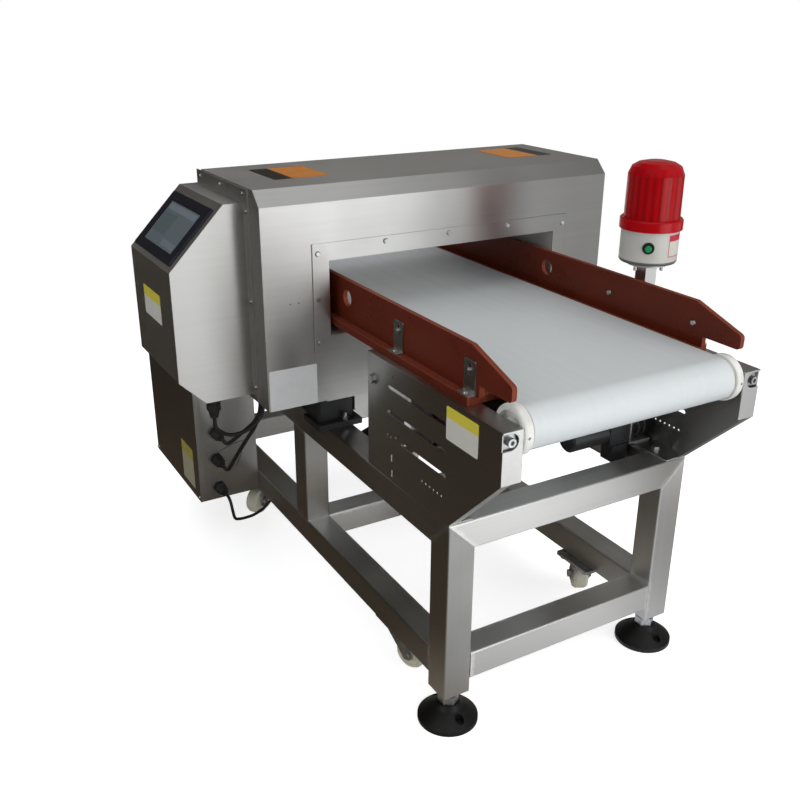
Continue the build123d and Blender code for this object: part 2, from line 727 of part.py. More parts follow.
# Hex bolts: those of the snub roller shafts, and those that hold the side plates on the stand
with BuildPart() as conveyor_bolts:
    with BuildSketch(across(-SIDE_Y)):
        with Locations((SNUB_X, SNUB_Z)):
            Circle(WASHER_R)
    extrude(amount=WASHER_T)
    with BuildSketch(across(-SIDE_Y - WASHER_T)):
        with Locations((SNUB_X, SNUB_Z)):
            RegularPolygon(HEX_FLATS / 2, 6, major_radius=False)
    extrude(amount=HEX_T)
    with BuildSketch(across(-SIDE_Y)):
        with Locations((SNUB_X, SNUB_Z)):
            Circle(TENSION_BOLT_R)
    extrude(amount=-SNUB_BOLT_L)
    with BuildSketch(Plane.XY.offset(STAND_TOP + SHEET)):
        with Locations((SIDE_X0 + FOOT_BOLT_IN, -LEG_Y), (SIDE_SLANT_X - FOOT_BOLT_END, -LEG_Y)):
            RegularPolygon(HEX_FLATS / 2, 6, major_radius=False)
    extrude(amount=HEX_T)
    with BuildSketch(Plane.XY.offset(STAND_TOP + SHEET)):
        with Locations((SIDE_X0 + FOOT_BOLT_IN, -LEG_Y), (SIDE_SLANT_X - FOOT_BOLT_END, -LEG_Y)):
            Circle(TENSION_BOLT_R)
    extrude(amount=-SHEET)
    mirror(about=Plane.XZ)
    mirror(about=Plane.YZ)

BED_SCREWS = [
    (sx * x, sy * (GUIDE_Y + GUIDE_T + FOOT_SCREW_OUT), BED_TOP)
    for sx in (-1, 1)
    for sy in (-1, 1)
    for x in GUIDE_BRACKETS
]
with BuildPart() as slider_bed:
    with Locations((0, 0, BED_BOTTOM)):
        Box(2 * BED_HALF_X, 2 * BED_HALF_Y, BED_T, align=(Align.CENTER, Align.CENTER, Align.MIN))
    with Locations(*BED_SCREWS):
        Cylinder(GUIDE_SCREW_R, 2 * (BED_T - 3), mode=Mode.SUBTRACT)
keep(slider_bed.part, "slider_bed")

with BuildPart() as wear_sheet:
    with Locations((0, 0, BED_TOP)):
        Box(2 * BED_HALF_X, 2 * BELT_HALF, WEAR_T, align=(Align.CENTER, Align.CENTER, Align.MIN))
keep(wear_sheet.part, "wear_sheet")

# Belt: endless loop round the end rollers, the drive roller and the two snub rollers
TOP_LINE = BELT_TOP - BELT_T / 2
OUT_DIST = hypot(ROLLER_X - DRIVE_X, ROLLER_Z - DRIVE_Z)
OUT_TURN = atan2(DRIVE_Z - ROLLER_Z, DRIVE_X - ROLLER_X) + 2 * pi
OUT_TURN -= acos((DRIVE_LINE_R - ROLLER_LINE_R) / OUT_DIST)
IN_DIST = hypot(ROLLER_X - SNUB_X, ROLLER_Z - SNUB_Z)
IN_TURN = atan2(ROLLER_Z - SNUB_Z, SNUB_X - ROLLER_X) - acos((SNUB_LINE_R + ROLLER_LINE_R) / IN_DIST)


def belt_loop(out):
    inner_r = ROLLER_LINE_R + out
    drive_r = DRIVE_LINE_R + out
    snub_r = SNUB_LINE_R - out
    out_deg = degrees(OUT_TURN)
    in_deg = degrees(IN_TURN)
    end_arc = CenterArc((ROLLER_X, ROLLER_Z), inner_r, 90, out_deg - 270)
    drive_arc = CenterArc((DRIVE_X, DRIVE_Z), drive_r, out_deg - 180, -out_deg)
    snub_arc = CenterArc((SNUB_X, SNUB_Z), snub_r, 0, 90)
    far_snub_arc = CenterArc((-SNUB_X, SNUB_Z), snub_r, 90, in_deg - 90)
    far_arc = CenterArc((-ROLLER_X, ROLLER_Z), inner_r, in_deg - 180, -(in_deg + 90))
    Line(end_arc @ 1, drive_arc @ 0)
    Line(drive_arc @ 1, snub_arc @ 0)
    Line(snub_arc @ 1, far_snub_arc @ 0)
    Line(far_snub_arc @ 1, far_arc @ 0)
    Line(far_arc @ 1, end_arc @ 0)


with BuildPart() as belt:
    with BuildSketch(Plane.XZ):
        with BuildLine():
            belt_loop(BELT_T / 2)
        make_face()
        with BuildLine():
            belt_loop(-BELT_T / 2)
        make_face(mode=Mode.SUBTRACT)
    extrude(amount=BELT_HALF, both=True)
keep(belt.part, "belt")


# End rollers with their collars and shafts
def make_end_roller(end, sign):
    roller_r = ROLLER_LINE_R - BELT_T / 2 - BELT_PLAY
    centre = Location((sign * ROLLER_X, 0, ROLLER_Z), (90, 0, 0))
    with BuildPart() as roller:
        Cylinder(roller_r, 2 * ROLLER_HALF)
        Cylinder(roller_r - 4, 2 * (ROLLER_HALF - 22), mode=Mode.SUBTRACT)
        Cylinder(SHAFT_R + SHAFT_PLAY, 2 * ROLLER_HALF, mode=Mode.SUBTRACT)
    with BuildPart() as collars:
        with BuildSketch(Plane.XZ):
            with BuildLine():
                Polyline(
                    (SHAFT_R + SHAFT_PLAY, ROLLER_HALF),
                    (COLLAR_R - 1, ROLLER_HALF),
                    (COLLAR_R, ROLLER_HALF + 1.5),
                    (COLLAR_R, COLLAR_Y - 5),
                    (COLLAR_R - 1.2, COLLAR_Y - 1.8),
                    (COLLAR_R - 4, COLLAR_Y),
                    (COLLAR_DISH_R, COLLAR_Y),
                    (COLLAR_DISH_R, COLLAR_Y - 10),
                    (17, COLLAR_Y - 10),
                    (17, COLLAR_Y - 1),
                    (SHAFT_R + SHAFT_PLAY, COLLAR_Y - 1),
                    close=True,
                )
            make_face()
        revolve(axis=Axis.Z)
        with Locations(Location((0, 0, COLLAR_Y - 7), (0, 90, 0))):
            Cylinder(2.2, 60, align=(Align.CENTER, Align.CENTER, Align.MIN), mode=Mode.SUBTRACT)
        mirror(about=Plane.XY)
    with BuildPart() as shaft:
        Cylinder(SHAFT_R, 2 * SHAFT_HALF)
        flats = [
            (0, side * (SHAFT_R + SHAFT_FLAT) / 2, up * (SHAFT_FLAT_Y + SHAFT_HALF) / 2)
            for side in (-1, 1)
            for up in (-1, 1)
        ]
        with Locations(*flats):
            Box(3 * SHAFT_R, SHAFT_R - SHAFT_FLAT, SHAFT_HALF - SHAFT_FLAT_Y, mode=Mode.SUBTRACT)
        with Locations([Location((0, 0, up * NOTCH_Y), (0, 90, 0)) for up in (-1, 1)]):
            Cylinder(TENSION_BOLT_R + SHAFT_PLAY, 4 * SHAFT_R, mode=Mode.SUBTRACT)
    keep(centre * Compound([*roller.solids(), *collars.solids()]), f"{end}_roller")
    return centre * shaft.part


outfeed_shaft = make_end_roller("outfeed", 1)
infeed_shaft = make_end_roller("infeed", -1)
keep(outfeed_shaft, "outfeed_shaft")

# Guide blocks for the shaft ends: slotted at the outfeed for the take-up, close-fitting at the infeed
BLOCK_PLACES = [
    (sx * (BLOCK_X0 + BLOCK_X1) / 2, sy * (BLOCK_Y0 + SIDE_Y - SHEET) / 2, (BLOCK_Z0 + BLOCK_Z1) / 2)
    for sx in (-1, 1)
    for sy in (-1, 1)
]
TENSION_PLACES = [
    Location((sx * BLOCK_X1, sy * NOTCH_Y, ROLLER_Z), (0, 90, 0)) for sx in (-1, 1) for sy in (-1, 1)
]
with BuildPart() as shaft_blocks:
    with Locations(*BLOCK_PLACES):
        Box(BLOCK_X1 - BLOCK_X0, SIDE_Y - SHEET - BLOCK_Y0, BLOCK_Z1 - BLOCK_Z0)
    slot_x0 = ROLLER_X - TAKE_UP - SHAFT_R - 1
    slot_x1 = ROLLER_X + SHAFT_R + 0.5
    with Locations([((slot_x0 + slot_x1) / 2, sy * NOTCH_Y, ROLLER_Z) for sy in (-1, 1)]):
        Box(slot_x1 - slot_x0, 60, 2 * (SHAFT_FLAT + SHAFT_PLAY), mode=Mode.SUBTRACT)
    with Locations([(-ROLLER_X, sy * NOTCH_Y, ROLLER_Z) for sy in (-1, 1)]):
        Box(2 * SHAFT_R, 60, 2 * SHAFT_FLAT, mode=Mode.SUBTRACT)
    with Locations(*TENSION_PLACES):
        Cylinder(TENSION_BOLT_R + HOLE_PLAY, 2 * (BLOCK_X1 - TENSION_BOLT_END + 2), mode=Mode.SUBTRACT)

with BuildPart() as tension_bolts:
    with Locations([Location((TENSION_HEAD_X, sy * NOTCH_Y, ROLLER_Z), (0, -90, 0)) for sy in (-1, 1)]):
        Cylinder(TENSION_HEAD_R, TENSION_HEAD_T, align=(Align.CENTER, Align.CENTER, Align.MIN))
        Cylinder(
            TENSION_BOLT_R,
            TENSION_HEAD_X - TENSION_BOLT_END,
            align=(Align.CENTER, Align.CENTER, Align.MIN),
        )
    with BuildSketch(Plane.YZ.offset(TENSION_HEAD_X)):
        with Locations((NOTCH_Y, ROLLER_Z), (-NOTCH_Y, ROLLER_Z)):
            RegularPolygon(3, 6, major_radius=False)
    extrude(amount=-4, mode=Mode.SUBTRACT)
    mirror(about=Plane.YZ)


# Snub rollers on dead shafts, drive roller on its own shaft in two bearings
def make_snub(end, sign):
    centre = Location((sign * SNUB_X, 0, SNUB_Z), (90, 0, 0))
    with BuildPart() as roller:
        Cylinder(SNUB_LINE_R - BELT_T / 2 - BELT_PLAY, 2 * SNUB_HALF)
        Cylinder(SNUB_LINE_R - 5, 2 * (SNUB_HALF - 20), mode=Mode.SUBTRACT)
        Cylinder(SNUB_SHAFT_R + SHAFT_PLAY, 2 * SNUB_HALF, mode=Mode.SUBTRACT)
    keep(centre * roller.part, f"{end}_snub_roller")


for end, sign in MIRRORS.items():
    make_snub(end, sign)

SNUB_ENDS = [
    Location((sx * SNUB_X, sy * (SIDE_Y - SHEET), SNUB_Z), (90, 0, 0)) for sx in (-1, 1) for sy in (-1, 1)
]
with BuildPart() as snub_shafts:
    with Locations([Location((sx * SNUB_X, 0, SNUB_Z), (90, 0, 0)) for sx in (-1, 1)]):
        Cylinder(SNUB_SHAFT_R, 2 * (SIDE_Y - SHEET))
    with Locations(*SNUB_ENDS):
        Cylinder(TENSION_BOLT_R, 2 * (SNUB_BOLT_L - SHEET), mode=Mode.SUBTRACT)
keep(Compound([*snub_shafts.solids(), *infeed_shaft.solids()]), "fixed_shafts")

with BuildPart() as drive_roller:
    with Locations(Location((DRIVE_X, 0, DRIVE_Z), (90, 0, 0))):
        Cylinder(DRIVE_LINE_R - BELT_T / 2 - BELT_PLAY, 2 * SNUB_HALF)
        Cylinder(SHAFT_R, 2 * SHAFT_HALF)

BEARING_Y0 = 229.0
with BuildPart() as drive_bearings:
    with Locations([(DRIVE_X, sy * (BEARING_Y0 + SIDE_Y - SHEET) / 2, DRIVE_Z) for sy in (-1, 1)]):
        Box(46, SIDE_Y - SHEET - BEARING_Y0, 46)
    with Locations(Location((DRIVE_X, 0, DRIVE_Z), (90, 0, 0))):
        Cylinder(SHAFT_R + SHAFT_PLAY, 600, mode=Mode.SUBTRACT)
keep(Compound([*shaft_blocks.solids(), *drive_bearings.solids()]), "bearing_blocks")


# Toothed belt drive from the gearbox to the drive roller
def make_pulley(x, z, radius, bore, shaft_end):
    with BuildPart() as pulley:
        with BuildSketch(across(PULLEY_Y1)):
            with Locations((x, z)):
                Circle(radius)
        extrude(amount=PULLEY_Y1 - PULLEY_Y0)
        with BuildSketch(across(PULLEY_Y1), across(PULLEY_Y0 + PULLEY_FLANGE)):
            with Locations((x, z)):
                Circle(radius + TOOTHED_T + 2)
        extrude(amount=PULLEY_FLANGE)
        with BuildSketch(across(PULLEY_Y1)):
            with Locations((x, z)):
                Circle(bore)
        if shaft_end:
            extrude(amount=PULLEY_Y1 - shaft_end)
        else:
            extrude(amount=PULLEY_Y1 - PULLEY_Y0, mode=Mode.SUBTRACT)
    return pulley.part


drive_pulley = make_pulley(DRIVE_X, DRIVE_Z, LARGE_PULLEY_R, SHAFT_R, None)
gearbox_pulley = make_pulley(MOTOR_X, MOTOR_Z, SMALL_PULLEY_R, PULLEY_SHAFT_R, GEARBOX_BORE_Y)
keep(Compound([*drive_roller.solids(), *drive_pulley.solids()]), "drive_roller")
keep(gearbox_pulley, "gearbox_pulley")

TOOTHED_Y1 = (PULLEY_Y0 + PULLEY_Y1 + TOOTHED_WIDTH) / 2
with BuildPart() as toothed_belt:
    with BuildSketch(across(TOOTHED_Y1)):
        with Locations((MOTOR_X, MOTOR_Z)):
            Circle(SMALL_PULLEY_R + BELT_PLAY + TOOTHED_T)
        with Locations((DRIVE_X, DRIVE_Z)):
            Circle(LARGE_PULLEY_R + BELT_PLAY + TOOTHED_T)
        make_hull()
    extrude(amount=TOOTHED_WIDTH)
    with BuildSketch(across(TOOTHED_Y1)):
        with Locations((MOTOR_X, MOTOR_Z)):
            Circle(SMALL_PULLEY_R + BELT_PLAY)
        with Locations((DRIVE_X, DRIVE_Z)):
            Circle(LARGE_PULLEY_R + BELT_PLAY)
        make_hull()
    extrude(amount=TOOTHED_WIDTH, mode=Mode.SUBTRACT)
keep(toothed_belt.part, "toothed_belt")

with BuildPart() as gearbox:
    with Locations((MOTOR_X, (MOTOR_Y1 + GEARBOX_Y1) / 2, MOTOR_Z)):
        Box(GEARBOX, GEARBOX_Y1 - MOTOR_Y1, GEARBOX)
    chamfer(gearbox.edges().filter_by(Axis.Y), 3)
    with BuildSketch(across(GEARBOX_Y1)):
        with Locations((MOTOR_X, MOTOR_Z)):
            Circle(PULLEY_SHAFT_R + SHAFT_PLAY)
    extrude(amount=GEARBOX_Y1 - GEARBOX_BORE_Y, mode=Mode.SUBTRACT)

with BuildPart() as motor:
    with Locations(Location((MOTOR_X, (MOTOR_Y0 + MOTOR_Y1) / 2, MOTOR_Z), (90, 0, 0))):
        Cylinder(MOTOR_R, MOTOR_Y1 - MOTOR_Y0)
    chamfer(motor.faces().sort_by(Axis.Y)[0].edges(), 4)
with BuildPart() as terminal_box:
    with Locations((MOTOR_X + GEARBOX / 2, GEARBOX_Y1, MOTOR_Z - GEARBOX / 2)):
        Box(TERMINAL_BOX_X, TERMINAL_BOX_Y, TERMINAL_BOX_H, align=(Align.MAX, Align.MAX, Align.MAX))
    fillet(terminal_box.edges().filter_by(Axis.Z), 3)
keep(Compound([*gearbox.solids(), *motor.solids(), *terminal_box.solids()]), "gearmotor")

BRACKET_X = GEARBOX + 2 * BRACKET_MARGIN
BRACKET_Z0 = STAND_TOP + SHEET
with BuildPart() as motor_bracket:
    with Locations((MOTOR_X, GEARBOX_Y1, BRACKET_Z0)):
        Box(
            BRACKET_X,
            BRACKET_T,
            MOTOR_Z + GEARBOX / 2 - BRACKET_Z0,
            align=(Align.CENTER, Align.MIN, Align.MIN),
        )
        Box(BRACKET_X, BRACKET_FOOT, BRACKET_T, align=(Align.CENTER, Align.MIN, Align.MIN))
    with BuildSketch(across(GEARBOX_Y1 + BRACKET_T)):
        with Locations((MOTOR_X, MOTOR_Z)):
            Circle(PULLEY_SHAFT_R + 2)
    extrude(amount=BRACKET_T, mode=Mode.SUBTRACT)
keep(motor_bracket.part, "motor_bracket")

# Side guides and their slotted angle brackets
with BuildPart() as guides:
    with BuildSketch(across(-GUIDE_Y)):
        with BuildLine():
            Polyline(
                (0, BED_TOP),
                (GUIDE_FOOT_X, BED_TOP),
                (GUIDE_FOOT_X, GUIDE_LIFT_Z),
                (GUIDE_NOSE_X, GUIDE_LIFT_Z),
                (GUIDE_NOSE_X, GUIDE_NOSE_Z),
                (GUIDE_SLOPE_X, GUIDE_TOP),
                (0, GUIDE_TOP),
                close=True,
            )
        make_face()
    extrude(amount=GUIDE_T)
    fillet(guides.edges().filter_by(Axis.Y).group_by(Axis.X)[-1], 7)
    with BuildSketch(across(-GUIDE_Y)):
        with Locations((GUIDE_HOLE_X, GUIDE_HOLE_Z)):
            Circle(GUIDE_HOLE_R)
        with Locations([(x, GUIDE_SCREW_Z) for x in GUIDE_BRACKETS]):
            Circle(GUIDE_SCREW_R + HOLE_PLAY)
    extrude(amount=GUIDE_T, mode=Mode.SUBTRACT)
    mirror(about=Plane.YZ)
    mirror(about=Plane.XZ)
keep(guides.part, "guides")

GUIDE_OUT = GUIDE_Y + GUIDE_T
with BuildPart() as guide_brackets:
    with BuildSketch(across(-GUIDE_OUT)):
        with Locations([(x, BED_TOP + GUIDE_BRACKET_H / 2) for x in GUIDE_BRACKETS]):
            RectangleRounded(GUIDE_BRACKET_W, GUIDE_BRACKET_H, 2.5)
        with Locations([(x, GUIDE_SLOT_Z) for x in GUIDE_BRACKETS]):
            SlotOverall(GUIDE_SLOT, 2 * GUIDE_SCREW_R + 1, rotation=90, mode=Mode.SUBTRACT)
    extrude(amount=SHEET)
    with BuildSketch(Plane.XY.offset(BED_TOP)):
        with Locations([(x, -GUIDE_OUT - GUIDE_FOOT_W / 2) for x in GUIDE_BRACKETS]):
            Rectangle(GUIDE_BRACKET_W, GUIDE_FOOT_W)
            with Locations((0, GUIDE_FOOT_W / 2 - FOOT_SCREW_OUT)):
                Circle(GUIDE_SCREW_R + HOLE_PLAY, mode=Mode.SUBTRACT)
    extrude(amount=SHEET)
    mirror(about=Plane.YZ)
    mirror(about=Plane.XZ)
keep(guide_brackets.part, "guide_brackets")

with BuildPart() as guide_screws:
    for x in GUIDE_BRACKETS:
        with Locations(Location((x, -GUIDE_Y, GUIDE_SCREW_Z), (90, 0, 0))):
            Cylinder(GUIDE_SCREW_R, GUIDE_T + SHEET + 5, align=(Align.CENTER, Align.CENTER, Align.MIN))
        with BuildSketch(across(-GUIDE_Y)):
            with Locations((x, GUIDE_SCREW_Z)):
                Circle(GUIDE_HEAD_R)
        extrude(amount=-GUIDE_HEAD_T, taper=25)
        with BuildSketch(across(-GUIDE_OUT - SHEET)):
            with Locations((x, GUIDE_SCREW_Z)):
                RegularPolygon(GUIDE_NUT_FLATS / 2, 6, major_radius=False)
        extrude(amount=GUIDE_NUT_T)
        with Locations((x, -GUIDE_OUT - FOOT_SCREW_OUT, BED_TOP + SHEET)):
            Cylinder(GUIDE_SCREW_R, SHEET + BED_T - 3, align=(Align.CENTER, Align.CENTER, Align.MAX))
        with BuildSketch(Plane.XY.offset(BED_TOP + SHEET)):
            with Locations((x, -GUIDE_OUT - FOOT_SCREW_OUT)):
                Circle(GUIDE_HEAD_R)
        extrude(amount=GUIDE_HEAD_T, taper=25)
    mirror(about=Plane.YZ)
    mirror(about=Plane.XZ)

# Detector head: sheet box with the tunnel through it
with BuildPart() as head_shell:
    with Locations((0, 0, HEAD_BOTTOM)):
        Box(
            2 * HEAD_HALF_X,
            2 * HEAD_HALF_Y,
            HEAD_TOP - HEAD_BOTTOM,
            align=(Align.CENTER, Align.CENTER, Align.MIN),
        )
    chamfer(head_shell.edges().filter_by(Axis.Y).group_by(Axis.Z)[-1], HEAD_CHAMFER)
    with BuildSketch(Plane.XZ):
        with BuildLine():
            Polyline(
                (-HEAD_HALF_X, HEAD_BOTTOM),
                (HEAD_HALF_X, HEAD_BOTTOM),
                (HEAD_HALF_X, HEAD_TOP - HEAD_CHAMFER),
                (HEAD_HALF_X - HEAD_CHAMFER, HEAD_TOP),
                (HEAD_CHAMFER - HEAD_HALF_X, HEAD_TOP),
                (-HEAD_HALF_X, HEAD_TOP - HEAD_CHAMFER),
                close=True,
            )
        make_face()
        offset(amount=-HEAD_SHEET, kind=Kind.INTERSECTION, mode=Mode.REPLACE)
    extrude(amount=HEAD_HALF_Y - HEAD_SHEET, both=True, mode=Mode.SUBTRACT)
    with Locations((0, 0, (TUNNEL_Z0 + TUNNEL_Z1) / 2)):
        Box(
            3 * HEAD_HALF_X,
            2 * (TUNNEL_HALF_Y + LINER_T),
            TUNNEL_Z1 - TUNNEL_Z0 + 2 * LINER_T,
            mode=Mode.SUBTRACT,
        )
    with BuildSketch(Plane.YZ):
        with Locations(*FRAME_SCREWS):
            Circle(SCREW_R)
    extrude(amount=2 * HEAD_HALF_X, both=True, mode=Mode.SUBTRACT)
    with BuildSketch(across(-HEAD_HALF_Y)):
        with Locations(*BOX_SCREWS):
            Circle(SCREW_R)
    extrude(amount=-HEAD_SHEET, mode=Mode.SUBTRACT)
keep(head_shell.part, "head_shell")

with BuildPart() as tunnel_liner:
    with BuildSketch(Plane.YZ):
        with Locations((0, (TUNNEL_Z0 + TUNNEL_Z1) / 2)):
            Rectangle(2 * (TUNNEL_HALF_Y + LINER_T), TUNNEL_Z1 - TUNNEL_Z0 + 2 * LINER_T)
            Rectangle(2 * TUNNEL_HALF_Y, TUNNEL_Z1 - TUNNEL_Z0, mode=Mode.SUBTRACT)
    extrude(amount=HEAD_HALF_X, both=True)
keep(tunnel_liner.part, "tunnel_liner")

with BuildPart() as tunnel_frames:
    with BuildSketch(Plane.YZ.offset(HEAD_HALF_X)):
        with Locations((0, (FLANGE_Z0 + FLANGE_Z1) / 2)):
            Rectangle(2 * FLANGE_HALF_Y, FLANGE_Z1 - FLANGE_Z0)
        with Locations((0, (TUNNEL_Z0 + TUNNEL_Z1) / 2)):
            Rectangle(2 * TUNNEL_HALF_Y, TUNNEL_Z1 - TUNNEL_Z0, mode=Mode.SUBTRACT)
        with Locations(*FRAME_SCREWS):
            Circle(SCREW_R, mode=Mode.SUBTRACT)
    extrude(amount=FLANGE_T)
    mirror(about=Plane.YZ)
keep(tunnel_frames.part, "tunnel_frames")

with BuildPart() as frame_screws:
    with BuildSketch(Plane.YZ.offset(HEAD_HALF_X + FLANGE_T)):
        with Locations(*FRAME_SCREWS):
            Circle(SCREW_R)
    extrude(amount=-SCREW_GRIP)
    with BuildSketch(Plane.YZ.offset(HEAD_HALF_X + FLANGE_T)):
        with Locations(*FRAME_SCREWS):
            Circle(SCREW_HEAD_R)
    extrude(amount=SCREW_HEAD_T, taper=28)
    mirror(about=Plane.YZ)

# Search coils: one transmitting ring between two receiving rings, wound round the tunnel liner
with BuildPart() as search_coils:
    for x in (-COIL_PITCH, 0, COIL_PITCH):
        with BuildSketch(Plane.YZ.offset(x)):
            with Locations((0, (TUNNEL_Z0 + TUNNEL_Z1) / 2)):
                RectangleRounded(
                    2 * (TUNNEL_HALF_Y + LINER_T + COIL_T),
                    TUNNEL_Z1 - TUNNEL_Z0 + 2 * (LINER_T + COIL_T),
                    COIL_T,
                )
                Rectangle(
                    2 * (TUNNEL_HALF_Y + LINER_T), TUNNEL_Z1 - TUNNEL_Z0 + 2 * LINER_T, mode=Mode.SUBTRACT
                )
        extrude(amount=COIL_T / 2, both=True)
keep(search_coils.part, "search_coils")

# Base panel under the head, with a tray set off from it by a narrow gap
with BuildPart() as head_panel:
    with Locations((0, 0, HEAD_BOTTOM)):
        Box(2 * PANEL_HALF_X, 2 * PANEL_HALF_Y, PANEL_T, align=(Align.CENTER, Align.CENTER, Align.MAX))
PANEL_BOTTOM = HEAD_BOTTOM - PANEL_T
with BuildPart() as head_tray:
    with Locations((0, 0, PANEL_BOTTOM)):
        Box(
            2 * (TRAY_HALF_X - 6),
            2 * (TRAY_HALF_Y - 6),
            PANEL_BOTTOM - TRAY_BOTTOM,
            align=(Align.CENTER, Align.CENTER, Align.MAX),
        )
    with Locations((0, 0, PANEL_BOTTOM - TRAY_GAP)):
        Box(
            2 * TRAY_HALF_X,
            2 * TRAY_HALF_Y,
            PANEL_BOTTOM - TRAY_GAP - TRAY_BOTTOM,
            align=(Align.CENTER, Align.CENTER, Align.MAX),
        )
    with Locations((0, 0, PANEL_BOTTOM)):
        Box(
            2 * (TRAY_HALF_X - 8),
            2 * (TRAY_HALF_Y - 8),
            PANEL_BOTTOM - TRAY_BOTTOM - SHEET,
            align=(Align.CENTER, Align.CENTER, Align.MAX),
            mode=Mode.SUBTRACT,
        )
keep(Compound([*head_panel.solids(), *head_tray.solids()]), "head_base")

with BuildPart() as isolating_mounts:
    with Locations((MOUNT_X, -MOUNT_Y, STAND_TOP)):
        Box(MOUNT_FOOT_X, MOUNT_FOOT_Y, MOUNT_FOOT_T, align=(Align.CENTER, Align.CENTER, Align.MIN))
    with Locations((MOUNT_X - MOUNT_STEP, -MOUNT_Y, STAND_TOP + MOUNT_FOOT_T)):
        Box(
            MOUNT_BODY_X,
            MOUNT_BODY_Y,
            PANEL_BOTTOM - STAND_TOP - MOUNT_FOOT_T,
            align=(Align.CENTER, Align.CENTER, Align.MIN),
        )
    chamfer(isolating_mounts.edges().filter_by(Axis.Z).group_by(Axis.X)[-2], 5)
    with Locations((MOUNT_BOLT_X, -MOUNT_BOLT_Y, STAND_TOP)):
        Cylinder(TENSION_BOLT_R, 3 * MOUNT_FOOT_T, mode=Mode.SUBTRACT)
    mirror(about=Plane.YZ)
    mirror(about=Plane.XZ)
keep(isolating_mounts.part, "isolating_mounts")

with BuildPart() as mount_bolts:
    with Locations((MOUNT_BOLT_X, -MOUNT_BOLT_Y, STAND_TOP)):
        Cylinder(TENSION_BOLT_R, MOUNT_FOOT_T + 14, align=(Align.CENTER, Align.CENTER, Align.MIN))
    with BuildSketch(Plane.XY.offset(STAND_TOP + MOUNT_FOOT_T)):
        with Locations((MOUNT_BOLT_X, -MOUNT_BOLT_Y)):
            RegularPolygon(HEX_FLATS / 2, 6, major_radius=False)
    extrude(amount=HEX_T)
    mirror(about=Plane.YZ)
    mirror(about=Plane.XZ)

with BuildPart() as caster_bolts:
    with BuildSketch(Plane.XY.offset(CASTER_PLATE_BOTTOM)):
        with Locations(*CASTER_PLACES):
            with GridLocations(CASTER_BOLT_X, CASTER_BOLT_Y, 2, 2):
                RegularPolygon(CASTER_BOLT_HEX / 2, 6, major_radius=False)
    extrude(amount=-5.5)
    with BuildSketch(Plane.XY.offset(CASTER_PLATE_BOTTOM)):
        with Locations(*CASTER_PLACES):
            with GridLocations(CASTER_BOLT_X, CASTER_BOLT_Y, 2, 2):
                Circle(CASTER_BOLT_R)
    extrude(amount=2 * CASTER_PLATE_T)
keep(
    Compound(
        [
            *conveyor_bolts.solids(),
            *tension_bolts.solids(),
            *mount_bolts.solids(),
            *caster_bolts.solids(),
        ]
    ),
    "bolts",
)

# Control box on the end of the head: folded shell with a flange, open towards the head behind
BOX_BACK_Y = -HEAD_HALF_Y - SHEET
with BuildPart() as control_box:
    with BuildSketch(Plane.YZ.offset(BOX_X0)):
        with BuildLine():
            Polyline(
                (BOX_BACK_Y, BOX_TOP_Z),
                (BOX_TOP_Y, BOX_TOP_Z),
                (BOX_FRONT_Y, BOX_FRONT_Z1),
                (BOX_FRONT_Y, BOX_FRONT_Z0),
                (BOX_CHIN_Y, BOX_BOTTOM_Z),
                (BOX_BACK_Y, BOX_BOTTOM_Z),
                close=True,
            )
        make_face()
    extrude(amount=BOX_X1 - BOX_X0)
    with BuildSketch(Plane.YZ.offset(BOX_X0 + SHEET)):
        with BuildLine():
            Polyline(
                (BOX_BACK_Y, BOX_TOP_Z),
                (BOX_TOP_Y, BOX_TOP_Z),
                (BOX_FRONT_Y, BOX_FRONT_Z1),
                (BOX_FRONT_Y, BOX_FRONT_Z0),
                (BOX_CHIN_Y, BOX_BOTTOM_Z),
                (BOX_BACK_Y, BOX_BOTTOM_Z),
                close=True,
            )
        make_face()
        offset(amount=-SHEET, kind=Kind.INTERSECTION, mode=Mode.REPLACE)
    extrude(amount=BOX_X1 - BOX_X0 - 2 * SHEET, mode=Mode.SUBTRACT)
    with BuildSketch(across(-HEAD_HALF_Y)):
        with Locations(((BOX_FLANGE_X0 + BOX_FLANGE_X1) / 2, (BOX_FLANGE_Z0 + BOX_FLANGE_Z1) / 2)):
            Rectangle(BOX_FLANGE_X1 - BOX_FLANGE_X0, BOX_FLANGE_Z1 - BOX_FLANGE_Z0)
        with Locations(*BOX_SCREWS):
            Circle(SCREW_R, mode=Mode.SUBTRACT)
    extrude(amount=SHEET)
    with BuildSketch(across(-HEAD_HALF_Y)):
        with Locations((SCREEN_X, (BOX_TOP_Z + BOX_BOTTOM_Z) / 2)):
            Rectangle(BOX_WINDOW_X, BOX_WINDOW_Z)
    extrude(amount=2 * SHEET, mode=Mode.SUBTRACT)
    with BuildSketch(SCREEN_PLANE):
        Rectangle(MODULE_W, MODULE_H)
    extrude(amount=-2 * SHEET, mode=Mode.SUBTRACT)
    with Locations((GLAND_BOX_X, GLAND_BOX_Y, BOX_BOTTOM_Z)):
        Cylinder(CABLE_HOLE_R, 3 * SHEET, mode=Mode.SUBTRACT)
keep(control_box.part, "control_box")

with BuildPart() as box_screws:
    with BuildSketch(across(BOX_BACK_Y)):
        with Locations(*BOX_SCREWS):
            Circle(SCREW_R)
    extrude(amount=-SCREW_GRIP)
    with BuildSketch(across(BOX_BACK_Y)):
        with Locations(*BOX_SCREWS):
            Circle(SCREW_HEAD_R)
    extrude(amount=SCREW_HEAD_T, taper=28)

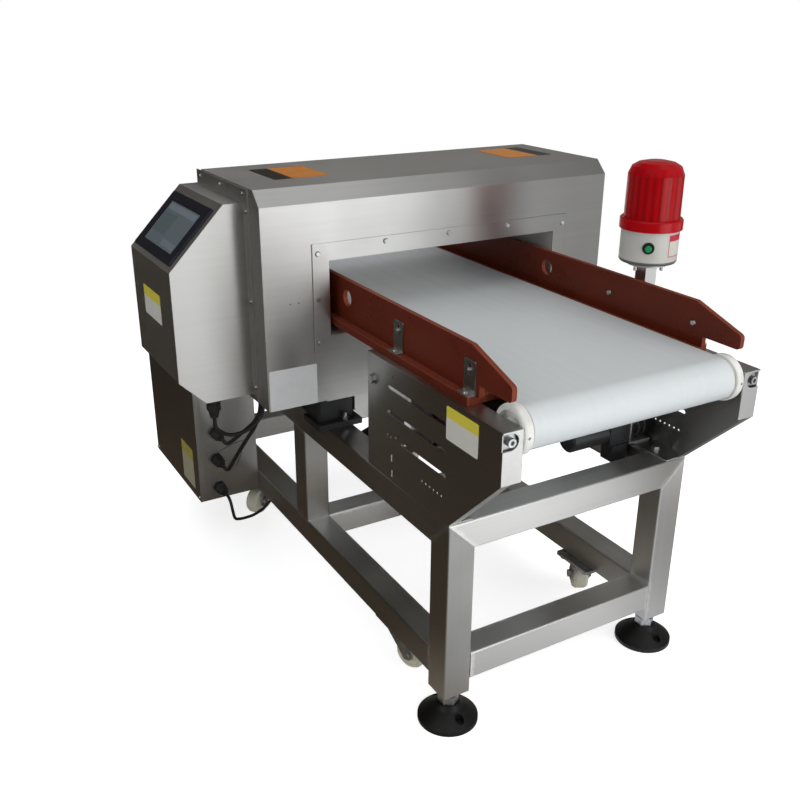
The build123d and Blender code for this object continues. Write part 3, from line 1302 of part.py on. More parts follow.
# Display module: bezel in front of the sheet, closed body behind it, glass let into the bezel
with BuildPart() as screen_bezel:
    with BuildSketch(SCREEN_PLANE):
        RectangleRounded(BEZEL_W, BEZEL_H, 4)
    extrude(amount=BEZEL_T)
    chamfer(screen_bezel.faces().sort_by(Axis(SCREEN_PLANE.origin, SCREEN_PLANE.z_dir))[-1].edges(), 1.2)
    with BuildSketch(SCREEN_PLANE):
        Rectangle(MODULE_W, MODULE_H)
    extrude(amount=-MODULE_DEPTH)
    with BuildSketch(SCREEN_PLANE.offset(BEZEL_T)):
        Rectangle(SCREEN_W, SCREEN_H)
    extrude(amount=-GLASS_T - GLASS_RECESS, mode=Mode.SUBTRACT)
keep(screen_bezel.part, "screen_bezel")

with BuildPart() as screen_glass:
    with BuildSketch(SCREEN_PLANE.offset(BEZEL_T - GLASS_RECESS)):
        Rectangle(SCREEN_W, SCREEN_H)
    extrude(amount=-GLASS_T)
keep(screen_glass.part, "screen_glass")

# Electronics: controller board on four standoffs in the control box, power supply in the cabinet
BOARD_Y = -HEAD_HALF_Y - BOARD_STANDOFF
with BuildPart() as controller_board:
    with Locations((SCREEN_X, BOARD_Y, BOARD_Z)):
        Box(BOARD_W, BOARD_T, BOARD_H, align=(Align.CENTER, Align.MAX, Align.CENTER))
with BuildPart() as board_parts:
    with BuildSketch(across(-HEAD_HALF_Y)):
        with Locations((SCREEN_X, BOARD_Z)):
            with GridLocations(BOARD_W - 14, BOARD_H - 14, 2, 2):
                Circle(3.5)
    extrude(amount=BOARD_STANDOFF)
    with BuildSketch(across(BOARD_Y - BOARD_T)):
        with Locations((SCREEN_X - 30, BOARD_Z + 45)):
            Rectangle(44, 44)
        with Locations((SCREEN_X + 34, BOARD_Z + 52)):
            Rectangle(30, 18)
        with Locations((SCREEN_X, BOARD_Z - 62)):
            Rectangle(96, 14)
    extrude(amount=12)
with BuildPart() as power_supply:
    with Locations(((CAB_X0 + CAB_X1) / 2, -SIDE_Y - CAB_SHEET, SUPPLY_Z)):
        Box(SUPPLY_W, SUPPLY_D, SUPPLY_H, align=(Align.CENTER, Align.MAX, Align.CENTER))
keep(
    Compound([*controller_board.solids(), *board_parts.solids(), *power_supply.solids()]),
    "electronics",
)

# Cabinet: shell with a post in each corner, and a folded lid screwed to the posts
CAB_CENTRE_X = (CAB_X0 + CAB_X1) / 2
CAB_CENTRE_Z = (CAB_Z0 + CAB_Z1) / 2
CAB_W = CAB_X1 - CAB_X0
CAB_H = CAB_Z1 - CAB_Z0
with BuildPart() as cabinet_shell:
    with BuildSketch(across(-SIDE_Y)):
        with Locations((CAB_CENTRE_X, CAB_CENTRE_Z)):
            Rectangle(CAB_W, CAB_H)
    extrude(amount=-SIDE_Y - CAB_JOINT_Y)
    with BuildSketch(across(-SIDE_Y - CAB_SHEET)):
        with Locations((CAB_CENTRE_X, CAB_CENTRE_Z)):
            Rectangle(CAB_W - 2 * CAB_SHEET, CAB_H - 2 * CAB_SHEET)
    extrude(amount=-SIDE_Y - CAB_JOINT_Y, mode=Mode.SUBTRACT)
    with BuildSketch(across(-SIDE_Y - CAB_SHEET)):
        with Locations((CAB_CENTRE_X, CAB_CENTRE_Z)):
            with GridLocations(CAB_W - CAB_POST - 2 * CAB_SHEET, CAB_H - CAB_POST - 2 * CAB_SHEET, 2, 2):
                Rectangle(CAB_POST, CAB_POST)
                Circle(SCREW_R, mode=Mode.SUBTRACT)
    extrude(amount=-SIDE_Y - CAB_Y0 - 2 * CAB_SHEET)
    with BuildSketch(Plane.YZ.offset(CAB_X1)):
        with Locations(*CAB_GLANDS):
            Circle(CABLE_HOLE_R)
    extrude(amount=-CAB_SHEET, mode=Mode.SUBTRACT)
keep(cabinet_shell.part, "cabinet_shell")

with BuildPart() as cabinet_lid:
    with BuildSketch(across(CAB_JOINT_Y)):
        with Locations((CAB_CENTRE_X, CAB_CENTRE_Z)):
            Rectangle(CAB_W, CAB_H)
    extrude(amount=CAB_JOINT_Y - CAB_Y0)
    with BuildSketch(across(CAB_JOINT_Y)):
        with Locations((CAB_CENTRE_X, CAB_CENTRE_Z)):
            Rectangle(CAB_W - 2 * CAB_SHEET, CAB_H - 2 * CAB_SHEET)
    extrude(amount=CAB_JOINT_Y - CAB_Y0 - CAB_SHEET, mode=Mode.SUBTRACT)
    with BuildSketch(across(CAB_Y0)):
        with Locations((CAB_CENTRE_X, CAB_CENTRE_Z)):
            with GridLocations(CAB_W - CAB_POST - 2 * CAB_SHEET, CAB_H - CAB_POST - 2 * CAB_SHEET, 2, 2):
                Circle(SCREW_R)
    extrude(amount=-CAB_SHEET, mode=Mode.SUBTRACT)
keep(cabinet_lid.part, "cabinet_lid")

with BuildPart() as lid_screws:
    with BuildSketch(across(CAB_Y0)):
        with Locations((CAB_CENTRE_X, CAB_CENTRE_Z)):
            with GridLocations(CAB_W - CAB_POST - 2 * CAB_SHEET, CAB_H - CAB_POST - 2 * CAB_SHEET, 2, 2):
                Circle(SCREW_R)
    extrude(amount=-SCREW_GRIP)
    with BuildSketch(across(CAB_Y0)):
        with Locations((CAB_CENTRE_X, CAB_CENTRE_Z)):
            with GridLocations(CAB_W - CAB_POST - 2 * CAB_SHEET, CAB_H - CAB_POST - 2 * CAB_SHEET, 2, 2):
                Circle(SCREW_HEAD_R)
    extrude(amount=SCREW_HEAD_T, taper=28)
keep(
    Compound([*guide_screws.solids(), *frame_screws.solids(), *box_screws.solids(), *lid_screws.solids()]),
    "dome_screws",
)


# Cable glands: hex flange against the sheet, body and domed nut
def make_gland(plane):
    with BuildPart() as gland:
        with BuildSketch(plane):
            RegularPolygon(12, 6, major_radius=False)
        extrude(amount=6)
        with BuildSketch(plane.offset(6)):
            Circle(9.5)
        extrude(amount=4)
        with BuildSketch(plane.offset(10)):
            RegularPolygon(11, 6, major_radius=False)
        extrude(amount=12)
        with BuildSketch(plane.offset(22)):
            Circle(10.5)
        extrude(amount=GLAND_L - 22, taper=14)
        with BuildSketch(plane.offset(-4)):
            Circle(CABLE_HOLE_R)
        extrude(amount=4)
    return gland.solids()


cable_glands = make_gland(
    Plane(origin=(GLAND_BOX_X, GLAND_BOX_Y, BOX_BOTTOM_Z), x_dir=(1, 0, 0), z_dir=(0, 0, -1))
)
for y, z in CAB_GLANDS:
    cable_glands += make_gland(Plane(origin=(CAB_X1, y, z), x_dir=(0, 1, 0), z_dir=(1, 0, 0)))
keep(Compound([*cable_glands]), "cable_glands")


# Cables: straight runs joined by arcs
def make_cable(points, radius):
    bends = []
    for before, corner, after in zip(points, points[1:], points[2:]):
        run_in = Vector(*corner) - Vector(*before)
        run_out = Vector(*after) - Vector(*corner)
        turn = radians(run_in.get_angle(run_out))
        bends.append(0.45 * min(run_in.length, run_out.length) / tan(turn / 2))
    with BuildPart() as cable:
        with BuildLine() as route:
            FilletPolyline(*points, radius=bends)
        line = route.wire()
        with BuildSketch(Plane(origin=line @ 0, z_dir=line % 0)):
            Circle(radius)
        sweep(path=line)
    print("cable length", round(line.length, 1), "bend radii", [round(bend, 1) for bend in bends])
    print("volume", round(cable.part.volume), "of section times length", round(pi * radius**2 * line.length))
    return cable.part


cables = [make_cable(points, radius) for points, radius in CABLES]
keep(Compound([solid for cable in cables for solid in cable.solids()]), "cables")

# Beacon on its post
with BuildPart() as beacon_post:
    with BuildSketch(Plane.XY.offset(UPPER_RAIL_BOTTOM)):
        with Locations((BEACON_X, BEACON_Y)):
            Rectangle(POST, POST)
            Rectangle(POST - 3, POST - 3, mode=Mode.SUBTRACT)
    extrude(amount=POST_TOP - UPPER_RAIL_BOTTOM)
    with BuildSketch(Plane.XY.offset(POST_TOP)):
        with Locations((BEACON_X, BEACON_Y)):
            Circle(POST_DISC_R)
    extrude(amount=3)
    with BuildSketch(Plane.XY.offset(POST_TOP + 3)):
        with Locations((BEACON_X, BEACON_Y)):
            with PolarLocations(POST_DISC_R - 8, 3, start_angle=30):
                Circle(4)
    extrude(amount=BASE_Z0 - POST_TOP - 3)
    with BuildSketch(Plane.XY.offset(POST_TOP)):
        with Locations((BEACON_X, BEACON_Y)):
            with PolarLocations(POST_DISC_R - 8, 3, start_angle=30):
                Circle(3)
    extrude(amount=-9)
keep(beacon_post.part, "beacon_post")

button_direction = Vector(cos(radians(BUTTON_ANGLE)), sin(radians(BUTTON_ANGLE)), 0)
BUTTON_PLANE = Plane(
    origin=Vector(BEACON_X, BEACON_Y, BUTTON_Z) + button_direction * BASE_R,
    x_dir=(-button_direction.Y, button_direction.X, 0),
    z_dir=button_direction,
)
with BuildPart() as beacon_base:
    with BuildSketch(Plane.XZ):
        with BuildLine():
            Polyline(
                (0, 0),
                (BASE_R - 2, 0),
                (BASE_R, 3),
                (BASE_R, BASE_Z1 - BASE_Z0),
                (0, BASE_Z1 - BASE_Z0),
                (0, BASE_Z1 - BASE_Z0 - BASE_WALL),
                (BASE_R - BASE_WALL, BASE_Z1 - BASE_Z0 - BASE_WALL),
                (BASE_R - BASE_WALL, BASE_WALL),
                (0, BASE_WALL),
                close=True,
            )
        make_face()
    revolve(axis=Axis.Z)
beacon_base_part = Location((BEACON_X, BEACON_Y, BASE_Z0)) * beacon_base.part

with BuildPart() as button_cut:
    with BuildSketch(BUTTON_PLANE.offset(BUTTON_COLLAR_T)):
        Circle(BUTTON_R + BUTTON_PLAY)
    extrude(amount=-BUTTON_COLLAR_T - 3 * BASE_WALL)
with BuildPart() as button_collar:
    with BuildSketch(BUTTON_PLANE.offset(BUTTON_COLLAR_T)):
        Circle(BUTTON_COLLAR_R)
        Circle(BUTTON_R + BUTTON_PLAY, mode=Mode.SUBTRACT)
    extrude(amount=-BUTTON_COLLAR_T - 2)
button_collar_part = button_collar.part - beacon_base_part
beacon_base_part = beacon_base_part - button_cut.part

with BuildPart() as lamp:
    with BuildSketch(Plane.XY.offset(BASE_Z1)):
        with Locations((BEACON_X, BEACON_Y)):
            Circle(LAMP_SOCKET_R)
    extrude(amount=LAMP_SOCKET_H)
    with BuildSketch(Plane.XY.offset(BASE_Z1 + LAMP_SOCKET_H)):
        with Locations((BEACON_X, BEACON_Y)):
            Circle(LAMP_R)
    extrude(amount=LAMP_H)
keep(
    Compound([*beacon_base_part.solids(), *button_collar_part.solids(), *lamp.solids()]),
    "beacon_base",
)

with BuildPart() as beacon_button:
    with BuildSketch(BUTTON_PLANE.offset(BUTTON_OUT)):
        Circle(BUTTON_R)
    extrude(amount=-BUTTON_L)
    chamfer(beacon_button.faces().sort_by(Axis(BUTTON_PLANE.origin, BUTTON_PLANE.z_dir))[-1].edges(), 0.8)
keep(beacon_button.part, "beacon_button")

# Red lens: collar with the hollow domed lens on it
with BuildPart() as beacon_lens:
    with BuildSketch(Plane.XZ):
        with BuildLine():
            Polyline(
                (BASE_R, 0),
                (LENS_COLLAR_R, 0),
                (LENS_COLLAR_R, COLLAR_HEIGHT - 2),
                (LENS_COLLAR_R - 2, COLLAR_HEIGHT),
                (LENS_R, COLLAR_HEIGHT),
                (LENS_R - 0.6, LENS_HEIGHT - 22),
                (LENS_R - 6, LENS_HEIGHT - 9),
                (LENS_R - 16, LENS_HEIGHT - 3),
                (LENS_R - 30, LENS_HEIGHT),
                (0, LENS_HEIGHT),
                (0, LENS_HEIGHT - LENS_WALL),
                (LENS_R - 30, LENS_HEIGHT - LENS_WALL),
                (LENS_R - 17, LENS_HEIGHT - 3 - LENS_WALL),
                (LENS_R - 8, LENS_HEIGHT - 9 - LENS_WALL),
                (LENS_R - LENS_WALL - 0.6, LENS_HEIGHT - 23),
                (LENS_R - LENS_WALL, COLLAR_HEIGHT - LENS_WALL),
                (LENS_R - LENS_WALL, 0),
                close=True,
            )
        make_face()
    revolve(axis=Axis.Z)
keep(Location((BEACON_X, BEACON_Y, BASE_Z1)) * beacon_lens.part, "beacon_lens")

# Reflector that turns round the lamp
with BuildPart() as beacon_reflector:
    with BuildSketch(Plane.XY.offset(BASE_Z1 + REFLECTOR_Z)):
        with Locations((BEACON_X, BEACON_Y)):
            Circle(REFLECTOR_R)
            Circle(LAMP_SOCKET_R + SHAFT_PLAY, mode=Mode.SUBTRACT)
    extrude(amount=REFLECTOR_T)
    with BuildSketch(Plane.XY.offset(BASE_Z1 + REFLECTOR_Z + REFLECTOR_T)):
        with Locations((BEACON_X, BEACON_Y)):
            Circle(REFLECTOR_R)
            Circle(REFLECTOR_R - REFLECTOR_T, mode=Mode.SUBTRACT)
            with Locations((REFLECTOR_R, 0)):
                Rectangle(2 * REFLECTOR_R, 2 * REFLECTOR_R, mode=Mode.SUBTRACT)
    extrude(amount=REFLECTOR_H)
keep(beacon_reflector.part, "beacon_reflector")
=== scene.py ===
# Looks of the conveyor metal detector: finishes, blank labels, small trim, stage and camera.
# Metres, in the object's own frame: +X is the way the belt travels, +Y the beacon's side, +Z up.
import math

import bmesh
import bpy
from mathutils import Matrix, Vector


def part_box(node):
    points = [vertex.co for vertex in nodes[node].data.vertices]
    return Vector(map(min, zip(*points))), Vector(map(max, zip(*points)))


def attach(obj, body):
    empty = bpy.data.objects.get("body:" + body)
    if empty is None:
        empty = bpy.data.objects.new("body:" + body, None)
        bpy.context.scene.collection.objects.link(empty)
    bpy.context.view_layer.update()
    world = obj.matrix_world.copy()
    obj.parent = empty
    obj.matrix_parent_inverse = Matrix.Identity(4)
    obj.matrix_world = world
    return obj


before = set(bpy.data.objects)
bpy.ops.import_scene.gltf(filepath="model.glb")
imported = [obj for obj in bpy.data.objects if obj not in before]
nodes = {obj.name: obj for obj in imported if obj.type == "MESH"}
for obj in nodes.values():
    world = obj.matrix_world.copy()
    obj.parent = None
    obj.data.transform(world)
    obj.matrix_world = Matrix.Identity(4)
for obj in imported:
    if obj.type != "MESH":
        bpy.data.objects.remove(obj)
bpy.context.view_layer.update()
scene = bpy.context.scene

X, Y, Z = Vector((1, 0, 0)), Vector((0, 1, 0)), Vector((0, 0, 1))
WHITE = (1.0, 1.0, 1.0, 1.0)
BLACK = (0.0, 0.0, 0.0, 1.0)

# The stand's square tube, and the stand's outside
TUBE = 0.050
STAND_HALF_X, STAND_HALF_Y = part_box("legs")[1].xy
LOW_RAIL_FOOT, STAND_TOP = (corner.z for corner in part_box("side_rails"))

# The beacon's axis, radius and heights
base_low, base_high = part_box("beacon_base")
BEACON = (base_low + base_high) / 2
BASE_RADIUS = (base_high.x - base_low.x) / 2
BASE_FOOT = base_low.z
BUTTON_HEIGHT = sum(corner.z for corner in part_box("beacon_button")) / 2
LENS_FOOT, LENS_TOP = (corner.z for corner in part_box("beacon_lens"))
FLUTES = 22

# The display: its centre, and the direction down the control box's slope
SLOPE_TOP = Vector((0.0, -0.397, 0.795))
SLOPE_FOOT = Vector((0.0, -0.4954, 0.6927))
DOWN = (SLOPE_FOOT - SLOPE_TOP).normalized()
SCREEN = (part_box("screen_glass")[0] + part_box("screen_glass")[1]) / 2

BELT_HALF_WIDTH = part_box("belt")[1].y
SUPPLY_TOP = 0.440


def linear(red, green, blue):
    """A colour written as on a screen, 0 to 255, as light."""
    levels = [level / 255 for level in (red, green, blue)]
    return tuple(c / 12.92 if c <= 0.04045 else ((c + 0.055) / 1.055) ** 2.4 for c in levels) + (1.0,)


def grey(level):
    return (level, level, level, 1.0)


def shade(colour, factor):
    return tuple(min(1.0, c * factor) for c in colour[:3]) + (1.0,)


class Finish:
    """A material with a Principled shader, and short ways to feed it."""

    def __init__(self, name, colour, rough, metallic=0.0):
        self.material = bpy.data.materials.new(name)
        self.material.use_nodes = True
        self.tree = self.material.node_tree
        self.tree.nodes.clear()
        self.output = self.tree.nodes.new("ShaderNodeOutputMaterial")
        self.shader = self.tree.nodes.new("ShaderNodeBsdfPrincipled")
        self.tree.links.new(self.shader.outputs["BSDF"], self.output.inputs["Surface"])
        self.put("Base Color", colour)
        self.put("Roughness", rough)
        self.put("Metallic", metallic)
        self.coordinates = self.tree.nodes.new("ShaderNodeTexCoord").outputs["Object"]

    def put(self, socket, value):
        self.feed(self.shader.inputs[socket], value)

    def feed(self, socket, value):
        if isinstance(value, bpy.types.NodeSocket):
            self.tree.links.new(value, socket)
        else:
            socket.default_value = value

    def node(self, kind, **settings):
        made = self.tree.nodes.new("ShaderNode" + kind)
        for key, value in settings.items():
            setattr(made, key, value)
        return made

    def noise(self, scale, detail=3.0, rough=0.55, shift=(0.0, 0.0, 0.0)):
        """Noise from 0 to 1 in object space; scale is one number or one for each axis, per metre."""
        if not hasattr(scale, "__len__"):
            scale = (scale, scale, scale)
        place = self.node("Mapping")
        self.feed(place.inputs["Vector"], self.coordinates)
        place.inputs["Scale"].default_value = scale
        place.inputs["Location"].default_value = shift
        made = self.node("TexNoise")
        self.feed(made.inputs["Vector"], place.outputs["Vector"])
        made.inputs["Scale"].default_value = 1.0
        made.inputs["Detail"].default_value = detail
        made.inputs["Roughness"].default_value = rough
        return made.outputs["Fac"]

    def spots(self, scale):
        made = self.node("TexVoronoi")
        self.feed(made.inputs["Vector"], self.coordinates)
        made.inputs["Scale"].default_value = scale
        return made.outputs["Distance"]

    def span(self, value, low, high, start, end):
        """Low up to where the value is start, and high from where it is end."""
        made = self.node("MapRange", clamp=True)
        self.feed(made.inputs["Value"], value)
        made.inputs["From Min"].default_value = start
        made.inputs["From Max"].default_value = end
        made.inputs["To Min"].default_value = low
        made.inputs["To Max"].default_value = high
        return made.outputs["Result"]

    def rise(self, value, start, end):
        return self.span(value, 0.0, 1.0, start, end)

    def fall(self, value, start, end):
        return self.span(value, 1.0, 0.0, start, end)

    def sums(self, kind, one, two=0.0):
        made = self.node("Math", operation=kind)
        self.feed(made.inputs[0], one)
        self.feed(made.inputs[1], two)
        return made.outputs["Value"]

    def plus(self, one, two):
        return self.sums("ADD", one, two)

    def minus(self, one, two):
        return self.sums("SUBTRACT", one, two)

    def times(self, first, *others):
        for other in others:
            first = self.sums("MULTIPLY", first, other)
        return first

    def most(self, first, *others):
        for other in others:
            first = self.sums("MAXIMUM", first, other)
        return first

    def size(self, value):
        """The value without its sign."""
        return self.sums("ABSOLUTE", value)

    def length(self, one, two):
        """Length of the line whose two parts, at right angles, are one and two."""
        return self.sums("SQRT", self.plus(self.times(one, one), self.times(two, two)))

    def wave(self, value, rate):
        return self.sums("SINE", self.times(value, rate))

    def mix(self, fac, one, two):
        made = self.node("Mix", data_type="RGBA")
        self.feed(made.inputs["Factor"], fac)
        self.feed(made.inputs["A"], one)
        self.feed(made.inputs["B"], two)
        return made.outputs["Result"]

    def axes(self):
        split = self.node("SeparateXYZ")
        self.feed(split.inputs["Vector"], self.coordinates)
        return split.outputs["X"], split.outputs["Y"], split.outputs["Z"]

    def edge(self, radius):
        """0 on a face and up to 1 at its sharp edges."""
        round_normal = self.node("Bevel", samples=4)
        round_normal.inputs["Radius"].default_value = radius
        flat = self.node("NewGeometry")
        dot = self.node("VectorMath", operation="DOT_PRODUCT")
        self.feed(dot.inputs[0], round_normal.outputs["Normal"])
        self.feed(dot.inputs[1], flat.outputs["Normal"])
        return self.fall(dot.outputs["Value"], 0.75, 0.99)

    def relief(self, height, depth, round_radius=0.0):
        """Bump from a height of 0 to 1, depth in metres, over edges rounded by the given radius."""
        made = self.node("Bump")
        made.inputs["Distance"].default_value = depth
        self.feed(made.inputs["Height"], height)
        if round_radius:
            soft = self.node("Bevel", samples=4)
            soft.inputs["Radius"].default_value = round_radius
            self.feed(made.inputs["Normal"], soft.outputs["Normal"])
        self.put("Normal", made.outputs["Normal"])


# Metals
def steel(name, grain, rough=0.33, welds=None, drawn=0.93):
    """Brushed stainless steel: streaks along the grain, reflections drawn out across it, handling marks."""
    colour = linear(203, 203, 201)
    streak_depth, edge_radius = 0.000005, 0.0012
    made = Finish(name, colour, rough, 1.0)
    along = made.node("CombineXYZ")
    along.inputs["xyz".index(grain)].default_value = 1.0
    made.put("Tangent", along.outputs["Vector"])
    made.put("Anisotropic", drawn)
    made.put("Anisotropic Rotation", 0.25)
    fine = made.noise(tuple(6.0 if axis == grain else 900.0 for axis in "xyz"), 2.0)
    wide = made.noise(tuple(1.5 if axis == grain else 120.0 for axis in "xyz"), 3.0, shift=(3.1, 1.7, 5.3))
    cloud = made.noise(3.0, 2.0, 0.5)
    smear = made.noise(9.0, 4.0, 0.55, (7.0, 2.0, 4.0))
    tone = made.mix(made.rise(wide, 0.3, 0.7), shade(colour, 0.965), shade(colour, 1.02))
    tone = made.mix(made.span(cloud, 0.0, 0.5, 0.4, 0.75), tone, shade(colour, 0.93))
    # Painted highlight: sharp edges drawn 15 % lighter, as where they catch the light.
    tone = made.mix(made.edge(edge_radius), tone, shade(colour, 1.15))
    streaks = made.span(fine, rough - 0.015, rough + 0.015, 0.3, 0.7)
    level = made.plus(streaks, made.span(smear, 0.0, 0.05, 0.48, 0.75))
    if welds:
        patch = made.times(welds(made), made.span(made.noise(260.0, 3.0), 0.55, 1.0, 0.35, 0.6))
        tone = made.mix(patch, tone, shade(colour, 1.25))
        level = made.plus(level, made.times(patch, 0.12))
    made.put("Base Color", tone)
    made.put("Roughness", level)
    made.relief(made.plus(fine, made.times(wide, 2.0)), streak_depth, edge_radius)
    return made.material


def joint_patches(made):
    """Ground weld areas of the stand: along the mitres of the top corners, and where other tubes butt."""
    x, y, z = made.axes()
    wobble = made.span(made.noise(45.0, 4.0), -0.004, 0.004, 0.3, 0.7)
    in_x = made.minus(STAND_HALF_X, made.size(x))
    in_y = made.minus(STAND_HALF_Y, made.size(y))
    in_z = made.minus(STAND_TOP, z)
    low_middle = LOW_RAIL_FOOT + TUBE / 2

    def mitre(one, two, face):
        apart = made.plus(made.size(made.minus(one, two)), wobble)
        inside = made.fall(made.most(one, two), TUBE + 0.004, TUBE + 0.010)
        return made.times(made.fall(apart, 0.003, 0.011), inside, made.fall(face, 0.0015, 0.003))

    def butt(along, place, across, middle):
        apart = made.size(made.minus(made.size(along), place))
        line = made.fall(made.plus(apart, wobble), 0.002, 0.009)
        beside = made.size(made.minus(across, middle))
        return made.times(line, made.fall(beside, TUBE / 2 + 0.002, TUBE / 2 + 0.011))

    return made.most(
        mitre(in_x, in_z, in_y),
        mitre(in_y, in_z, in_x),
        mitre(in_x, in_y, in_z),
        butt(x, STAND_HALF_X - TUBE, z, low_middle),
        butt(y, STAND_HALF_Y - TUBE, z, low_middle),
        butt(z, LOW_RAIL_FOOT + TUBE, x, 0.0),
        butt(z, STAND_TOP - TUBE, x, 0.0),
    )


def zinc(name, colour=linear(188, 192, 196), rough=0.32):
    """Zinc plating: faint spangle, with dust in it."""
    made = Finish(name, colour, rough, 1.0)
    dust = made.noise(60.0, 5.0)
    tone = made.mix(made.rise(made.spots(170.0), 0.1, 0.7), shade(colour, 0.82), shade(colour, 1.08))
    tone = made.mix(made.span(dust, 0.0, 0.6, 0.5, 0.8), tone, linear(120, 117, 108))
    made.put("Base Color", tone)
    made.put("Roughness", made.span(dust, rough - 0.06, rough + 0.18, 0.3, 0.7))
    made.relief(made.noise(700.0, 3.0), 0.00004, 0.0005)
    return made.material


def turned(name, colour=linear(184, 185, 188), rough=0.24):
    """Steel turned on a lathe: fine rings, and a film of oil."""
    made = Finish(name, colour, rough, 1.0)
    rings = made.noise((60.0, 1500.0, 60.0), 2.0)
    film = made.noise(30.0, 4.0)
    made.put("Base Color", made.mix(made.span(film, 0.0, 0.5, 0.4, 0.8), colour, shade(colour, 0.6)))
    made.put("Roughness", made.span(film, rough, rough + 0.15, 0.3, 0.8))
    made.relief(rings, 0.00002, 0.0004)
    return made.material


def copper_winding():
    """Varnished enamelled wire, wound round the tunnel turn by turn."""
    colour = linear(176, 98, 58)
    made = Finish("copper_winding", colour, 0.3, 0.8)
    x = made.axes()[0]
    turns = made.rise(made.wave(x, 5200.0), -1.0, 1.0)
    varnish = made.span(made.noise(40.0, 4.0), 0.0, 0.4, 0.5, 0.8)
    # Painted shade: the grooves between turns are drawn dark brown.
    tone = made.mix(turns, linear(96, 44, 22), colour)
    made.put("Base Color", made.mix(varnish, tone, linear(120, 70, 34)))
    made.put("Roughness", made.span(turns, 0.42, 0.26, 0.0, 1.0))
    made.relief(turns, 0.0004)
    return made.material


# Plastics, rubber, boards and paint
def moulded(name, colour, rough, pits=900.0, depth=0.00004, worn=1.25, dirt=None, sheen=0.5):
    """Moulded plastic or rubber: fine pitting, uneven sheen, paler rubbed edges, and patches of dust where a
    dust colour is given.
    """
    radius = 0.0006
    made = Finish(name, colour, rough)
    made.put("Specular IOR Level", sheen)
    cloud = made.noise(25.0, 4.0)
    tone = made.mix(made.rise(cloud, 0.3, 0.7), shade(colour, 0.88), shade(colour, 1.08))
    tone = made.mix(made.times(made.edge(radius * 1.6), 0.6), tone, shade(colour, worn))
    if dirt:
        patches = made.noise(14.0, 6.0, 0.65, (5.0, 5.0, 5.0))
        tone = made.mix(made.span(patches, 0.0, 0.45, 0.5, 0.75), tone, dirt)
    made.put("Base Color", tone)
    made.put("Roughness", made.span(cloud, rough - 0.05, rough + 0.09, 0.3, 0.7))
    made.relief(made.noise(pits, 3.0), depth, radius)
    return made.material


def phenolic_board():
    """Red-brown paper laminate: satin faces, matt cut edges with fine layers."""
    colour = linear(96, 38, 23)
    made = Finish("phenolic", colour, 0.30)
    made.put("Specular IOR Level", 0.14)
    cloud = made.noise(9.0, 5.0, 0.6)
    fleck = made.noise((160.0, 160.0, 700.0), 3.0)
    layer = made.noise((6.0, 2600.0, 6.0), 2.0)
    split = made.node("SeparateXYZ")
    made.feed(split.inputs["Vector"], made.node("NewGeometry").outputs["True Normal"])
    cut = made.fall(made.size(split.outputs["Y"]), 0.2, 0.7)
    tone = made.mix(made.rise(cloud, 0.3, 0.7), shade(colour, 0.82), shade(colour, 1.12))
    tone = made.mix(made.span(fleck, 0.0, 0.35, 0.5, 0.8), tone, shade(colour, 0.62))
    edge_tone = made.mix(made.rise(layer, 0.35, 0.65), linear(104, 44, 28), linear(138, 70, 50))
    tone = made.mix(cut, tone, edge_tone)
    # Painted highlight: sharp edges drawn a light orange-brown, as where they catch the light.
    tone = made.mix(made.times(made.edge(0.0012), 0.7), tone, linear(176, 98, 70))
    made.put("Base Color", tone)
    made.put("Roughness", made.plus(made.span(cloud, 0.24, 0.36, 0.3, 0.7), made.times(cut, 0.2)))
    made.relief(made.plus(fleck, made.times(layer, cut)), 0.00003, 0.0006)
    return made.material


def belt_cover():
    """White polyurethane food belt: glossy, faintly rippled, with greyish cut edges and travel marks."""
    colour = linear(214, 219, 220)
    made = Finish("belt_cover", colour, 0.36)
    y = made.axes()[1]
    ripple = made.noise((5.0, 18.0, 5.0), 3.0)
    fine = made.noise(500.0, 3.0)
    travel = made.noise((1.2, 90.0, 1.2), 3.0, shift=(2.0, 0.0, 1.0))
    edge = made.rise(made.size(y), BELT_HALF_WIDTH - 0.0025, BELT_HALF_WIDTH)
    tone = made.mix(made.span(travel, 0.0, 0.35, 0.45, 0.75), colour, linear(204, 209, 209))
    tone = made.mix(made.span(ripple, 0.0, 0.3, 0.5, 0.8), tone, linear(208, 213, 217))
    tone = made.mix(made.times(edge, 0.5), tone, linear(188, 190, 184))
    made.put("Base Color", tone)
    made.put("Roughness", made.span(travel, 0.30, 0.44, 0.3, 0.7))
    made.put("Coat Weight", 0.15)
    made.put("Coat Roughness", 0.25)
    made.relief(made.plus(ripple, made.times(fine, 0.05)), 0.0005, 0.0004)
    return made.material


def tunnel_laminate():
    """Glass-fibre laminate of the tunnel lining: pale, with the weave just showing."""
    colour, rough, weave_rate = linear(184, 183, 181), 0.45, 2600.0
    made = Finish("tunnel_laminate", colour, rough)
    x, y, z = made.axes()
    threads = made.times(made.wave(made.plus(y, z), weave_rate), made.wave(x, weave_rate))
    weave = made.rise(threads, -1.0, 1.0)
    cloud = made.noise(12.0, 4.0)
    tone = made.mix(made.rise(cloud, 0.3, 0.7), shade(colour, 0.9), shade(colour, 1.05))
    tone = made.mix(made.times(weave, 0.12), tone, shade(colour, 0.8))
    made.put("Base Color", tone)
    made.put("Roughness", made.span(cloud, rough - 0.06, rough + 0.08, 0.3, 0.7))
    made.relief(weave, 0.00004, 0.0005)
    return made.material


def motor_enamel():
    """Black machine enamel over a cast surface, chipped to primer at the edges."""
    colour, rough = linear(38, 39, 41), 0.38
    made = Finish("motor_enamel", colour, rough)
    peel = made.noise(420.0, 3.0)
    chips = made.times(made.edge(0.0012), made.rise(made.noise(180.0, 4.0), 0.55, 0.65))
    tone = made.mix(made.span(made.noise(15.0, 5.0), 0.0, 0.5, 0.45, 0.75), colour, shade(colour, 2.0))
    made.put("Base Color", made.mix(chips, tone, linear(126, 122, 116)))
    made.put("Roughness", made.span(peel, rough - 0.05, rough + 0.12, 0.3, 0.7))
    made.relief(peel, 0.00012, 0.0008)
    return made.material


